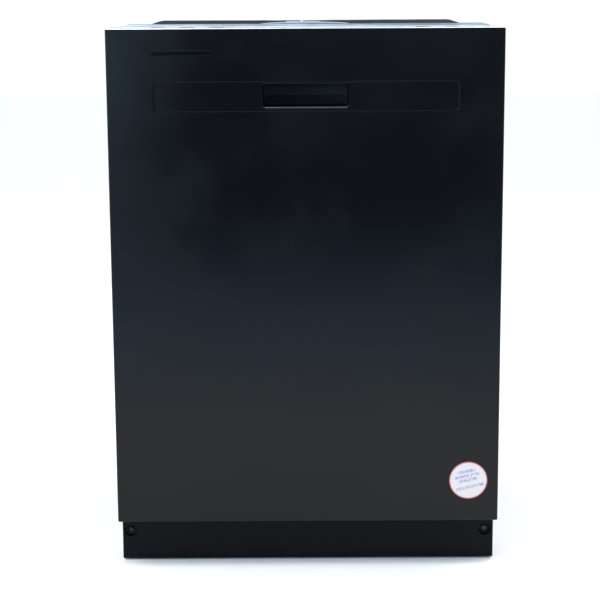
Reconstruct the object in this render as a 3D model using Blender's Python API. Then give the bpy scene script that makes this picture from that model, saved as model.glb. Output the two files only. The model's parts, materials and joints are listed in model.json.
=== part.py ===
"""Built-in dishwasher, 24 inch class, with a pocket handle and hidden top controls.

Metres, +Z up. The front of the door faces -Y and the origin is on the floor under the middle of the machine.
Every depth below is measured back from the face of the door, so at(0) is the door's face.
"""

import math

import bmesh
import bpy
from mathutils import Matrix, Vector

# ---------------------------------------------------------------- driving dimensions
FRONT = -0.3002  # y of the door's face
GAP = 0.0003  # running gap between pieces that touch

DOOR_HALF = 0.3032
DOOR_LOW = 0.081
DOOR_TOP = 0.860
DOOR_RETURN = 0.028
SHEET = 0.0009

BAND_HALF = 0.234
BAND_LOW, BAND_TOP = 0.7338, 0.7788
BAND_DEPTH = 0.0016
POCKET_HALF = 0.067
POCKET_LOW, POCKET_TOP = 0.7374, 0.7770
CORNER = 0.006

STRIP_LEFT, STRIP_RIGHT = -0.2325, -0.1423
STRIP_LOW, STRIP_TOP = 0.8190, 0.8254

HINGE_DEPTH, HINGE_Z = 0.040, 0.125
CAM_RADIUS = 0.030

FLANGE = 0.062  # depth of the tub's front flange
TUB_HALF = 0.2835
TUB_WALL = 0.001
TUB_LOW, TUB_TOP = 0.140, 0.849
TUB_BACK = 0.596
TUB_CORNER = 0.020
BASIN_HALF, BASIN_FRONT, BASIN_BACK, BASIN_LOW = 0.215, 0.110, 0.530, 0.118

RINSE_X, RINSE_Z = 0.145, 0.530
LABEL_X, LABEL_Z, LABEL_RADIUS = 0.2556, 0.1481, 0.0304

FLOAT_X, FLOAT_DEPTH = -0.120, 0.180
HEATER_HALF, HEATER_FRONT, HEATER_BACK, HEATER_Z = 0.190, 0.145, 0.470, 0.133
HEATER_TERMINAL = 0.030
HOSE_X, HOSE_Z, HOSE_RADIUS = 0.150, 0.075, 0.0092

ARM_DEPTH = 0.325  # depth of the spray arms' common axis
FILTER_DEPTH = 0.410

BLANKET_FRONT, BLANKET_HALF, BLANKET_TOP, BLANKET_BACK = 0.105, 0.292, 0.8605, 0.601

RACK_FRONT, RACK_BACK = 0.088, 0.542
WIRE = 0.004
UPPER_HALF, UPPER_FLOOR, UPPER_RIM = 0.253, 0.480, 0.630
LOWER_HALF, LOWER_FLOOR, LOWER_RIM = 0.240, 0.182, 0.325
WHEEL_RADIUS = 0.018
WHEEL_Z = TUB_LOW + TUB_WALL + 0.0014 + WHEEL_RADIUS  # 1.4 mm clear of the tub's floor
WHEEL_DEPTHS = {"front": 0.168, "rear": 0.470}
TINE_DEPTH, TINE_Z = 0.380, 0.190

PLATE = (0.2880, 0.2905)  # x of the base's side plates
LEG_X, LEG_DEPTH = 0.268, 0.130
REAR_WHEEL_DEPTH, REAR_WHEEL_RADIUS = 0.565, 0.020
TOE_FACE, TOE_HALF, TOE_LOW, TOE_TOP = 0.050, 0.302, 0.003, 0.065
TOE_SCREW_X, TOE_SCREW_Z = 0.288, 0.0505
SPRING_X = 0.2945

BUTTONS = {
    "cycle_button": -0.225,
    "options_button": -0.180,
    "delay_button": -0.135,
    "cancel_button": 0.180,
    "start_button": 0.225,
}
BUTTON_DEPTH = 0.030

SIDES = {"left": -1, "right": 1}


def at(depth):
    return FRONT + depth


# ---------------------------------------------------------------- scene, materials and bodies
def clear_scene():
    for obj in list(bpy.data.objects):
        bpy.data.objects.remove(obj)


def material(name, colour, roughness, metallic):
    made = bpy.data.materials.new(name)
    made.use_nodes = True
    shader = made.node_tree.nodes["Principled BSDF"]
    shader.inputs["Base Color"].default_value = (*colour, 1)
    shader.inputs["Roughness"].default_value = roughness
    shader.inputs["Metallic"].default_value = metallic
    return made


def make_materials():
    return {
        "black_enamel": material("black_enamel", (0.018, 0.022, 0.027), 0.18, 0.0),
        "gloss_black": material("gloss_black", (0.015, 0.016, 0.019), 0.12, 0.0),
        "matte_black": material("matte_black", (0.02, 0.021, 0.024), 0.5, 0.0),
        "toe_enamel": material("toe_enamel", (0.012, 0.014, 0.017), 0.35, 0.0),
        "stainless": material("stainless", (0.62, 0.63, 0.64), 0.28, 1.0),
        "galvanised": material("galvanised", (0.45, 0.47, 0.48), 0.45, 1.0),
        "zinc_screw": material("zinc_screw", (0.55, 0.55, 0.52), 0.35, 1.0),
        "spring_steel": material("spring_steel", (0.35, 0.36, 0.37), 0.3, 1.0),
        "rubber": material("rubber", (0.03, 0.03, 0.03), 0.8, 0.0),
        "grey_plastic": material("grey_plastic", (0.33, 0.35, 0.37), 0.45, 0.0),
        "white_plastic": material("white_plastic", (0.75, 0.75, 0.73), 0.4, 0.0),
        "blanket": material("blanket", (0.05, 0.052, 0.055), 0.95, 0.0),
        "rack_coating": material("rack_coating", (0.42, 0.45, 0.48), 0.5, 0.0),
        "label": material("label", (0.86, 0.84, 0.85), 0.6, 0.0),
        "circuit": material("circuit", (0.03, 0.16, 0.07), 0.5, 0.0),
    }


def body(name, position, parent=None):
    """An empty on a joint's axis. The pieces that move with that joint hang from it."""
    empty = bpy.data.objects.new(name, None)
    bpy.context.scene.collection.objects.link(empty)
    empty.parent = parent
    base = parent.matrix_world.translation if parent else Vector((0, 0, 0))
    empty.location = Vector(position) - base
    bpy.context.view_layer.update()
    return empty


def piece(name, shape, finish, carrier=None, smooth=True):
    """Turns a bmesh in machine coordinates into a named object that hangs from its carrier."""
    mesh = bpy.data.meshes.new(name)
    origin = carrier.matrix_world.translation if carrier else Vector((0, 0, 0))
    bmesh.ops.translate(shape, vec=-origin, verts=shape.verts)
    shape.to_mesh(mesh)
    shape.free()
    mesh.materials.append(MATERIALS[finish])
    obj = bpy.data.objects.new(name, mesh)
    bpy.context.scene.collection.objects.link(obj)
    obj.parent = carrier
    if smooth:
        mesh.shade_smooth()
        mesh.set_sharp_from_angle(angle=math.radians(35))
    bpy.context.view_layer.update()
    return obj


def boolean(obj, shape, operation):
    """Adds a Boolean whose other shape is a hidden helper in machine coordinates."""
    mesh = bpy.data.meshes.new(obj.name + "_helper")
    shape.to_mesh(mesh)
    shape.free()
    helper = bpy.data.objects.new(obj.name + "_helper", mesh)
    bpy.context.scene.collection.objects.link(helper)
    helper.hide_render = True
    helper.display_type = "WIRE"
    modifier = obj.modifiers.new(operation.lower(), "BOOLEAN")
    modifier.operation = operation
    modifier.solver = "EXACT"
    modifier.object = helper


def join(obj, *shapes):
    for shape in shapes:
        boolean(obj, shape, "UNION")


def cut(obj, *shapes):
    for shape in shapes:
        boolean(obj, shape, "DIFFERENCE")


# ---------------------------------------------------------------- shapes, all in machine coordinates
def block(x, depth, z):
    """A box between (low, high) limits in x, in depth behind the door's face, and in z."""
    shape = bmesh.new()
    bmesh.ops.create_cube(shape, size=1)
    low = Vector((x[0], at(depth[0]), z[0]))
    high = Vector((x[1], at(depth[1]), z[1]))
    for vert in shape.verts:
        for axis in range(3):
            vert.co[axis] = high[axis] if vert.co[axis] > 0 else low[axis]
    return shape


def prism(axis, outline, low, high):
    """Extrudes a 2-D outline along X (outline in y, z), Y (in x, z) or Z (in x, y)."""
    shape = bmesh.new()
    others = [i for i in range(3) if i != "XYZ".index(axis)]
    corners = []
    for point in outline:
        co = [0, 0, 0]
        co["XYZ".index(axis)] = low
        co[others[0]], co[others[1]] = point
        corners.append(shape.verts.new(co))
    face = shape.faces.new(corners)
    sweep = bmesh.ops.extrude_face_region(shape, geom=[face])
    step = Vector((0, 0, 0))
    step["XYZ".index(axis)] = high - low
    moved = [v for v in sweep["geom"] if isinstance(v, bmesh.types.BMVert)]
    bmesh.ops.translate(shape, vec=step, verts=moved)
    bmesh.ops.recalc_face_normals(shape, faces=shape.faces)
    return shape


def arc(centre, radius, start, end, steps):
    """Points on an arc, with the angles in degrees."""
    return [
        (
            centre[0] + radius * math.cos(math.radians(start + (end - start) * i / steps)),
            centre[1] + radius * math.sin(math.radians(start + (end - start) * i / steps)),
        )
        for i in range(steps + 1)
    ]


def rounded(u, v, radius, steps=4):
    """Outline of a rectangle with round corners."""
    corners = (
        (u[1] - radius, v[1] - radius, 0),
        (u[0] + radius, v[1] - radius, 90),
        (u[0] + radius, v[0] + radius, 180),
        (u[1] - radius, v[0] + radius, 270),
    )
    return [p for a, b, turn in corners for p in arc((a, b), radius, turn, turn + 90, steps)]


def slab(x, z, radius, depth, steps=4):
    """A plate with round corners that faces the front."""
    return prism("Y", rounded(x, z, radius, steps), at(depth[0]), at(depth[1]))


def rod(axis, centre, radius, low, high, sides=20):
    """A cylinder along one axis. The centre is given in the two other axes."""
    return prism(axis, arc(centre, radius, 0, 360 - 360 / sides, sides - 1), low, high)


def turned(axis, centre, profile, sides=20):
    """Spins a profile of (place along the axis, radius) round it. Both its ends are at radius 0."""
    shape = bmesh.new()
    along = "XYZ".index(axis)
    others = [i for i in range(3) if i != along]

    def vert(place, radius, turn):
        co = [0, 0, 0]
        co[along] = place
        co[others[0]] = centre[0] + radius * math.cos(turn)
        co[others[1]] = centre[1] + radius * math.sin(turn)
        return shape.verts.new(co)

    rings = [
        [vert(place, radius, 2 * math.pi * i / sides) for i in range(sides)]
        if radius
        else [vert(place, 0, 0)]
        for place, radius in profile
    ]
    for first, second in zip(rings, rings[1:]):
        for i in range(sides):
            j = (i + 1) % sides
            lower = [first[i % len(first)], first[j % len(first)]]
            upper = [second[j % len(second)], second[i % len(second)]]
            shape.faces.new(list(dict.fromkeys(lower + upper)))
    bmesh.ops.recalc_face_normals(shape, faces=shape.faces)
    return shape


def bend(points, radius, steps=4):
    """Rounds every inner corner of a route with an arc that touches both of its straight runs."""
    route = [Vector(points[0])]
    for before, corner, after in zip(points, points[1:], points[2:]):
        corner = Vector(corner)
        into = (Vector(before) - corner).normalized()
        out = (Vector(after) - corner).normalized()
        half = into.angle(out) / 2
        reach = radius / math.tan(half)
        middle = corner + (into + out).normalized() * (radius / math.sin(half))
        start = corner + into * reach - middle
        end = corner + out * reach - middle
        turn = start.angle(end)
        for i in range(steps + 1):
            share = i / steps
            offset = (start * math.sin((1 - share) * turn) + end * math.sin(share * turn)) / math.sin(turn)
            route.append(middle + offset)
    route.append(Vector(points[-1]))
    return route


def tube(name, route, radius, finish, carrier=None, resolution=2):
    """A round tube along a route, as a curve with a bevel and filled caps."""
    curve = bpy.data.curves.new(name, "CURVE")
    curve.dimensions = "3D"
    curve.bevel_depth = radius
    curve.bevel_resolution = resolution
    curve.use_fill_caps = True
    spline = curve.splines.new("POLY")
    spline.points.add(len(route) - 1)
    origin = carrier.matrix_world.translation if carrier else Vector((0, 0, 0))
    for point, place in zip(spline.points, route):
        point.co = (*(Vector(place) - origin), 1)
    curve.materials.append(MATERIALS[finish])
    obj = bpy.data.objects.new(name, curve)
    bpy.context.scene.collection.objects.link(obj)
    obj.parent = carrier
    return obj


def behind(points):
    """Route points given as (x, depth, z)."""
    return [Vector((x, at(depth), z)) for x, depth, z in points]


def mirror_x(span, side):
    """A span in x, moved to the left or right side and put in order."""
    return tuple(sorted((span[0] * side, span[1] * side)))


# ---------------------------------------------------------------- tub, base and outer casing
def make_tub():
    inner = TUB_HALF - TUB_WALL
    shell = slab((-TUB_HALF, TUB_HALF), (TUB_LOW, TUB_TOP), TUB_CORNER, (FLANGE + 0.0006, TUB_BACK))
    tub = piece("tub", shell, "stainless")
    flange_half, flange_top = 0.2925, 0.8645
    join(
        tub,
        slab((-flange_half, flange_half), (TUB_LOW, flange_top), TUB_CORNER, (FLANGE, FLANGE + 0.0014)),
        block((-BASIN_HALF, BASIN_HALF), (BASIN_FRONT, BASIN_BACK), (BASIN_LOW, TUB_LOW + 0.010)),
    )
    cavity_depth = (FLANGE - 0.01, TUB_BACK - TUB_WALL)
    basin_x = (-BASIN_HALF + TUB_WALL, BASIN_HALF - TUB_WALL)
    basin_depth = (BASIN_FRONT + TUB_WALL, BASIN_BACK - TUB_WALL)
    below, above = BASIN_LOW - 0.01, BASIN_LOW + 0.01
    cut(
        tub,
        slab((-inner, inner), (TUB_LOW + TUB_WALL, TUB_TOP - TUB_WALL), TUB_CORNER - TUB_WALL, cavity_depth),
        block(basin_x, basin_depth, (BASIN_LOW + TUB_WALL, TUB_LOW + 0.02)),
        rod("Z", (0, at(ARM_DEPTH)), 0.0135, below, above),
        rod("Z", (0, at(FILTER_DEPTH)), 0.050, below, above),
        rod("Z", (FLOAT_X, at(FLOAT_DEPTH)), 0.0046, below, above, 12),
        rod("Z", (-HEATER_TERMINAL, at(HEATER_FRONT)), 0.0058, below, above, 12),
        rod("Z", (HEATER_TERMINAL, at(HEATER_FRONT)), 0.0058, below, above, 12),
        block((-0.0135, 0.0135), (0.0652, 0.0728), (TUB_TOP - 0.01, TUB_TOP + 0.005)),
    )


def make_sound_blanket():
    blanket = piece(
        "sound_blanket",
        slab((-BLANKET_HALF, BLANKET_HALF), (0.170, BLANKET_TOP), 0.026, (BLANKET_FRONT, BLANKET_BACK)),
        "blanket",
    )
    half, top = TUB_HALF + GAP, TUB_TOP + GAP
    corner = TUB_CORNER + GAP
    cut(blanket, slab((-half, half), (0.120, top), corner, (BLANKET_FRONT - 0.02, TUB_BACK + GAP)))


def make_tub_gasket():
    depth = (0.0560, FLANGE - GAP)
    gasket = piece("tub_gasket", slab((-0.2915, 0.2915), (0.100, 0.8565), 0.0275, depth), "rubber")
    past = (depth[0] - 0.01, depth[1] + 0.01)
    opening = slab((-0.2840, 0.2840), (0.050, 0.8490), 0.020, past)
    cut(gasket, opening, block((-0.3, 0.3), past, (0.09, 0.150)))


def side_plate(side):
    """Side wall of the base, which reaches forward above the toe space to carry the hinge pin."""
    front, behind_toe, back = 0.028, 0.106, 0.600
    bottom, nose, top = 0.008, 0.105, 0.1397
    under = [(front, nose), (behind_toe, nose), (behind_toe, bottom)]
    outline = under + [(back, bottom), (back, top), (front, top)]
    low, high = mirror_x(PLATE, side)
    return prism("X", [(at(depth), z) for depth, z in outline], low, high)


def make_base_frame():
    base = piece("base_frame", side_plate(SIDES["left"]), "galvanised")
    join(
        base,
        block((-0.2895, 0.2895), (0.1065, 0.1095), (0.0085, 0.060)),
        block((-0.2895, 0.2895), (0.5355, 0.5380), (0.0085, 0.1390)),
        side_plate(SIDES["right"]),
    )
    for side in SIDES.values():
        join(
            base,
            block(mirror_x((0.246, 0.2890), side), (0.108, 0.150), (0.034, 0.056)),
            block(mirror_x((0.2820, 0.2845), side), (0.0590, 0.1080), (0.0405, 0.0600)),
            block(mirror_x((0.2755, 0.3000), side), (0.0583, 0.0605), (0.0400, 0.0610)),
            block(mirror_x((0.236, 0.240), side), (0.536, 0.594), (0.0080, 0.0600)),
            block(mirror_x((0.2885, 0.2975), side), (0.452, 0.458), (0.1300, 0.1630)),
            rod("X", (at(HINGE_DEPTH), HINGE_Z), 0.004, *mirror_x((0.2885, 0.2975), side)),
        )
        axle = (at(REAR_WHEEL_DEPTH), REAR_WHEEL_RADIUS)
        cut(
            base,
            rod("Z", (LEG_X * side, at(LEG_DEPTH)), 0.0048, 0.02, 0.07),
            rod("X", axle, 0.0053, *mirror_x((0.230, 0.300), side)),
            rod("Y", (TOE_SCREW_X * side, TOE_SCREW_Z), 0.0026, at(0.055), at(0.065), 12),
        )
    cut(base, rod("Y", (HOSE_X, HOSE_Z), 0.0125, at(0.52), at(0.55)))


def make_levelling_leg(name, side):
    carrier = body(name + "_joint", (LEG_X * side, at(LEG_DEPTH), 0))
    profile = [(0, 0), (0, 0.017), (0.005, 0.017), (0.007, 0.0045), (0.024, 0.0045), (0.024, 0.010)]
    profile += [(0.0337, 0.010), (0.0337, 0.0045), (0.078, 0.0045), (0.078, 0)]
    piece(name, turned("Z", (LEG_X * side, at(LEG_DEPTH)), profile), "grey_plastic", carrier)


def make_rear_wheel(name, side):
    carrier = body(name + "_joint", (0.261 * side, at(REAR_WHEEL_DEPTH), REAR_WHEEL_RADIUS))
    profile = [(0.2370, 0), (0.2370, 0.005), (0.2470, 0.005), (0.2470, 0.018), (0.2490, REAR_WHEEL_RADIUS)]
    profile += [(0.2730, REAR_WHEEL_RADIUS), (0.2750, 0.018), (0.2750, 0.005), (0.2895, 0.005), (0.2895, 0)]
    placed = [(x * side, radius) for x, radius in profile]
    piece(name, turned("X", (at(REAR_WHEEL_DEPTH), REAR_WHEEL_RADIUS), placed, 24), "grey_plastic", carrier)


def make_toe_panel():
    sheet = block((-TOE_HALF, TOE_HALF), (TOE_FACE, 0.072), (TOE_LOW, TOE_TOP))
    toe = piece("toe_panel", sheet, "toe_enamel", smooth=False)
    inner = TOE_HALF - SHEET
    cut(toe, block((-inner, inner), (TOE_FACE + SHEET, 0.09), (TOE_LOW + SHEET, TOE_TOP - SHEET)))
    for side in SIDES.values():
        cup = rod("Y", (TOE_SCREW_X * side, TOE_SCREW_Z), 0.0105, at(TOE_FACE + 0.0004), at(0.0580))
        join(toe, cup)
        cut(
            toe,
            rod("Y", (TOE_SCREW_X * side, TOE_SCREW_Z), 0.0095, at(TOE_FACE - 0.01), at(0.0568)),
            rod("Y", (TOE_SCREW_X * side, TOE_SCREW_Z), 0.0026, at(0.05), at(0.065), 12),
        )


def make_toe_screw(name, side):
    profile = [(at(0.0535), 0), (at(0.0540), 0.0045), (at(0.0565), 0.0052), (at(0.0565), 0.0022)]
    profile += [(at(0.0680), 0.0022), (at(0.0700), 0)]
    piece(name, turned("Y", (TOE_SCREW_X * side, TOE_SCREW_Z), profile, 12), "zinc_screw")


# ---------------------------------------------------------------- water, heat and drives under the tub


def make_sump():
    centre = (0, at(FILTER_DEPTH))
    outside = [(0.045, 0), (0.045, 0.060), (0.055, 0.066), (0.1177, 0.066)]
    inside = [(0.1177, 0.0475), (0.062, 0.0475), (0.062, 0)]
    sump = piece("sump", turned("Z", centre, outside + inside, 28), "grey_plastic")
    join(
        sump,
        block((-0.016, 0.016), (ARM_DEPTH - 0.016, FILTER_DEPTH - 0.055), (0.085, 0.1170)),
        rod("Z", (0, at(ARM_DEPTH)), 0.012, 0.100, 0.1605),
    )


def make_filter_cup():
    carrier = body("filter_twist", (0, at(FILTER_DEPTH), 0.12))
    profile = [(0.066, 0), (0.066, 0.043), (0.112, 0.043), (0.118, 0.0465), (0.130, 0.0465), (0.134, 0.040)]
    profile += [(0.134, 0)]
    cup = piece("filter_cup", turned("Z", (0, at(FILTER_DEPTH)), profile, 24), "grey_plastic", carrier)
    join(cup, block((-0.024, 0.024), (FILTER_DEPTH - 0.004, FILTER_DEPTH + 0.004), (0.130, 0.1470)))


def make_float():
    carrier = body("overfill_float_joint", (FLOAT_X, at(FLOAT_DEPTH), 0.124))
    stem = [(0.085, 0), (0.085, 0.004), (0.124, 0.004)]
    dome = [(0.124, 0.018), (0.134, 0.018), (0.139, 0.013), (0.1405, 0)]
    shape = turned("Z", (FLOAT_X, at(FLOAT_DEPTH)), stem + dome)
    piece("overfill_float", shape, "white_plastic", carrier)


def make_wash_motor():
    volute = [(-0.0665, 0), (-0.0665, 0.033), (-0.098, 0.036), (-0.102, 0.030)]
    can = [(-0.108, 0.036), (-0.182, 0.036), (-0.190, 0.022), (-0.202, 0.022), (-0.202, 0)]
    profile = volute + can
    piece("wash_motor", turned("X", (at(FILTER_DEPTH), 0.078), profile, 24), "matte_black")


def make_drain_pump():
    profile = [(0.0665, 0), (0.0665, 0.027), (0.104, 0.027), (0.107, 0.022), (0.150, 0.022), (0.150, 0)]
    pump = piece("drain_pump", turned("X", (at(FILTER_DEPTH), HOSE_Z), profile), "white_plastic")
    join(pump, rod("Y", (0.086, HOSE_Z), HOSE_RADIUS, at(FILTER_DEPTH), at(FILTER_DEPTH + 0.050), 16))


def make_drain_hose():
    """From the drain pump under the tub to the open end at the back of the base."""
    corners = [(0.086, FILTER_DEPTH + 0.0504, HOSE_Z), (0.086, 0.495, HOSE_Z), (HOSE_X, 0.515, HOSE_Z)]
    route = behind([*corners, (HOSE_X, 0.590, HOSE_Z)])
    tube("drain_hose", bend(route, 0.012, 3), HOSE_RADIUS, "matte_black")


def make_inlet_valve():
    case = block((-0.245, -0.195), (0.175, 0.215), (0.020, 0.052))
    valve = piece("inlet_valve", case, "white_plastic", smooth=False)
    join(
        valve,
        rod("Z", (-0.220, at(0.195)), 0.015, 0.045, 0.090),
        rod("Y", (-0.220, 0.036), 0.010, at(0.150), at(0.180), 16),
    )


def make_junction_box():
    case = block((0.165, 0.235), (0.165, 0.225), (0.015, 0.062))
    piece("junction_box", case, "galvanised", smooth=False)


def make_feed_tube():
    foot, wall, floor, ceiling = 0.500, 0.578, 0.150, 0.828
    up_the_back = [(0, foot, 0.120), (0, foot, floor), (0, wall, floor), (0, wall, ceiling)]
    route = up_the_back + [(0, ARM_DEPTH, ceiling), (0, ARM_DEPTH, 0.798)]
    tube("feed_tube", bend(behind(route), 0.018), 0.008, "grey_plastic")


def make_heating_element():
    half, front, back, z = HEATER_HALF, HEATER_FRONT, HEATER_BACK, HEATER_Z
    end = HEATER_TERMINAL
    route = [(-end, front, 0.098), (-end, front, z), (-half, front, z), (-half, back, z)]
    route += [(half, back, z), (half, front, z), (end, front, z), (end, front, 0.098)]
    tube("heating_element", bend(behind(route), 0.012, 3), 0.004, "spring_steel", resolution=1)


def spray_arm(name, centre_z, half_length, half_width, hub_radius, socket_radius, socket, carrier):
    """A flat arm with a round hub and a blind socket that turns on its post."""
    low, high = centre_z - 0.0055, centre_z + 0.0055
    across = (at(ARM_DEPTH) - half_width, at(ARM_DEPTH) + half_width)
    outline = rounded((-half_length, half_length), across, half_width * 0.8)
    arm = piece(name, prism("Z", outline, low, high), "grey_plastic", carrier)
    bottom, top = min(low, socket[0]) + 0.0005, max(high, socket[1]) - 0.0005
    join(arm, rod("Z", (0, at(ARM_DEPTH)), hub_radius, bottom, top))
    cut(arm, rod("Z", (0, at(ARM_DEPTH)), socket_radius, *socket))


def make_lower_spray_arm():
    carrier = body("lower_spray_arm_joint", (0, at(ARM_DEPTH), 0.165))
    spray_arm("lower_spray_arm", 0.1650, 0.232, 0.024, 0.032, 0.0125, (0.1530, 0.1630), carrier)
    join(bpy.data.objects["lower_spray_arm"], rod("Z", (0, at(ARM_DEPTH)), 0.020, 0.1640, 0.1740))


def make_top_spray_arm():
    carrier = body("top_spray_arm_joint", (0, at(ARM_DEPTH), 0.795))
    spray_arm("top_spray_arm", 0.7890, 0.100, 0.013, 0.020, 0.0086, (0.7965, 0.8080), carrier)


# ---------------------------------------------------------------- door
def make_door_outer_panel(door):
    shape = block((-DOOR_HALF, DOOR_HALF), (0, DOOR_RETURN), (DOOR_LOW, DOOR_TOP))
    front_edges = [e for e in shape.edges if all(abs(v.co.y - FRONT) < 1e-6 for v in e.verts)]
    bmesh.ops.bevel(shape, geom=front_edges, offset=0.002, segments=3, profile=0.5, affect="EDGES")
    panel = piece("door_outer_panel", shape, "black_enamel", door)
    inner = DOOR_HALF - SHEET
    cut(panel, block((-inner, inner), (SHEET, 0.04), (DOOR_LOW + SHEET, DOOR_TOP - SHEET)))
    pad = (BAND_LOW - 0.0015, BAND_TOP + 0.0015)
    pad_half = BAND_HALF + 0.0015
    join(panel, slab((-pad_half, pad_half), pad, CORNER, (SHEET / 2, BAND_DEPTH + SHEET)))
    cut(
        panel,
        block((-inner, inner), (0.0065, 0.04), (DOOR_TOP - 0.01, DOOR_TOP + 0.01)),
        block((-inner, inner), (0.0120, 0.04), (DOOR_LOW - 0.01, DOOR_LOW + 0.01)),
        slab((-BAND_HALF, BAND_HALF), (BAND_LOW, BAND_TOP), CORNER, (-0.01, BAND_DEPTH)),
        slab((-POCKET_HALF, POCKET_HALF), (POCKET_LOW, POCKET_TOP), CORNER, (-0.01, 0.02)),
        slab((STRIP_LEFT, STRIP_RIGHT), (STRIP_LOW, STRIP_TOP), 0.0012, (-0.01, 0.01), 2),
    )


def make_status_window(door):
    width, height = (STRIP_LEFT + GAP, STRIP_RIGHT - GAP), (STRIP_LOW + GAP, STRIP_TOP - GAP)
    window = piece("status_window", slab(width, height, 0.0009, (0.0002, 0.0030), 2), "gloss_black", door)
    lip = 0.003
    back = (STRIP_LOW - lip, STRIP_TOP + lip)
    join(window, block((STRIP_LEFT - lip, STRIP_RIGHT + lip), (0.0016, 0.0036), back))


def make_handle_pocket(door):
    half = POCKET_HALF - GAP
    height = (POCKET_LOW + GAP, POCKET_TOP - GAP)
    rim = slab((-half, half), height, CORNER - GAP, (BAND_DEPTH - 0.0006, 0.008))
    pocket = piece("handle_pocket", rim, "gloss_black", door)
    join(
        pocket,
        block((-0.078, 0.078), (0.0031, 0.0065), (0.7280, 0.8000)),
        block((-0.070, 0.070), (0.0055, 0.0325), (0.7320, 0.7960)),
    )
    cut(
        pocket,
        slab((-0.0640, 0.0640), (0.7405, 0.7742), 0.004, (-0.01, 0.0305)),
        slab((-0.0640, 0.0640), (0.7405, 0.7920), 0.004, (0.0080, 0.0305)),
    )


def make_control_console(door):
    case = block((-0.3000, 0.3000), (0.0070, 0.0540), (0.8150, DOOR_TOP - 0.0002))
    console = piece("control_console", case, "gloss_black", door)
    cut(
        console,
        block((-0.2980, 0.2980), (0.0090, 0.0520), (0.8000, DOOR_TOP - 0.0022)),
        block((-0.0340, 0.0340), (0.0450, 0.0600), (0.8100, 0.8500)),
    )
    for x in BUTTONS.values():
        hole = rounded((x - 0.012, x + 0.012), (at(BUTTON_DEPTH) - 0.006, at(BUTTON_DEPTH) + 0.006), 0.002, 2)
        cut(console, prism("Z", hole, DOOR_TOP - 0.01, DOOR_TOP + 0.01))


def make_button(name, x, door):
    carrier = body(name + "_joint", (x, at(BUTTON_DEPTH), DOOR_TOP), door)
    y = at(BUTTON_DEPTH)
    outline = rounded((x - 0.0116, x + 0.0116), (y - 0.0056, y + 0.0056), 0.0017, 2)
    piece(name, prism("Z", outline, DOOR_TOP - 0.0050, DOOR_TOP + 0.0004), "gloss_black", carrier)


def make_control_board(door):
    board = block((-0.250, -0.060), (0.0150, 0.0460), (0.8420, 0.8440))
    piece("control_board", board, "circuit", door, smooth=False)


def make_latch(door):
    case = block((-0.0320, 0.0320), (0.0160, 0.0535), (0.8220, 0.8480))
    housing = piece("latch_housing", case, "matte_black", door, smooth=False)
    cut(housing, block((-0.0165, 0.0165), (0.0240, 0.0600), (0.8285, 0.8440)))
    pivot = (0.0480, 0.8375)
    carrier = body("latch_pawl_joint", (0, at(pivot[0]), pivot[1]), door)
    nose = [(0.0300, 0.8350), (0.0500, 0.8355), (0.0500, 0.8395), (0.0340, 0.8390), (0.0300, 0.8370)]
    hook = prism("X", [(at(depth), z) for depth, z in nose], -0.008, 0.008)
    piece("latch_pawl", hook, "white_plastic", carrier, smooth=False)


def make_door_inner_panel(door):
    sheet = block((-0.2920, 0.2920), (0.0300, 0.0555), (0.1150, 0.8565))
    panel = piece("door_inner_panel", sheet, "stainless", door)
    cut(
        panel,
        block((-0.2908, 0.2908), (0.0200, 0.0543), (0.1162, 0.8700)),
        block((-0.3000, 0.3000), (0.0200, 0.0543), (0.8120, 0.8700)),
    )
    join(panel, slab((-0.2392, 0.2392), (0.1900, 0.7900), 0.0212, (0.0340, 0.0550)))
    cut(
        panel,
        slab((-0.2380, 0.2380), (0.1912, 0.7888), 0.0200, (0.0352, 0.0700)),
        block((-0.0165, 0.0165), (0.0500, 0.0600), (0.8285, 0.8440)),
        block((0.0200, 0.1800), (0.0300, 0.0400), (0.4150, 0.5650)),
    )
    for side in SIDES.values():
        cut(panel, block(mirror_x((0.2835, 0.3100), side), (0.0200, 0.0700), (0.1000, 0.1500)))


def make_door_bottom_seal(door):
    strip = block((-0.2360, 0.2360), (0.0558, 0.0612), (0.1460, 0.1600))
    piece("door_bottom_seal", strip, "rubber", door, smooth=False)


def make_hinge_arm(name, side, door):
    low, high = mirror_x((0.2930, 0.2960), side)
    strap = block((low, high), (0.0330, 0.0470), (0.1300, 0.3400))
    arm = piece(name, strap, "galvanised", door, smooth=False)
    pivot = (at(HINGE_DEPTH), HINGE_Z)
    join(
        arm,
        prism("X", [pivot, *arc(pivot, CAM_RADIUS - 0.0025, 0, 90, 6)], low, high),
        rod("X", pivot, 0.0120, low, high),
    )
    cut(arm, rod("X", pivot, 0.0043, low - 0.01, high + 0.01))


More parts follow.
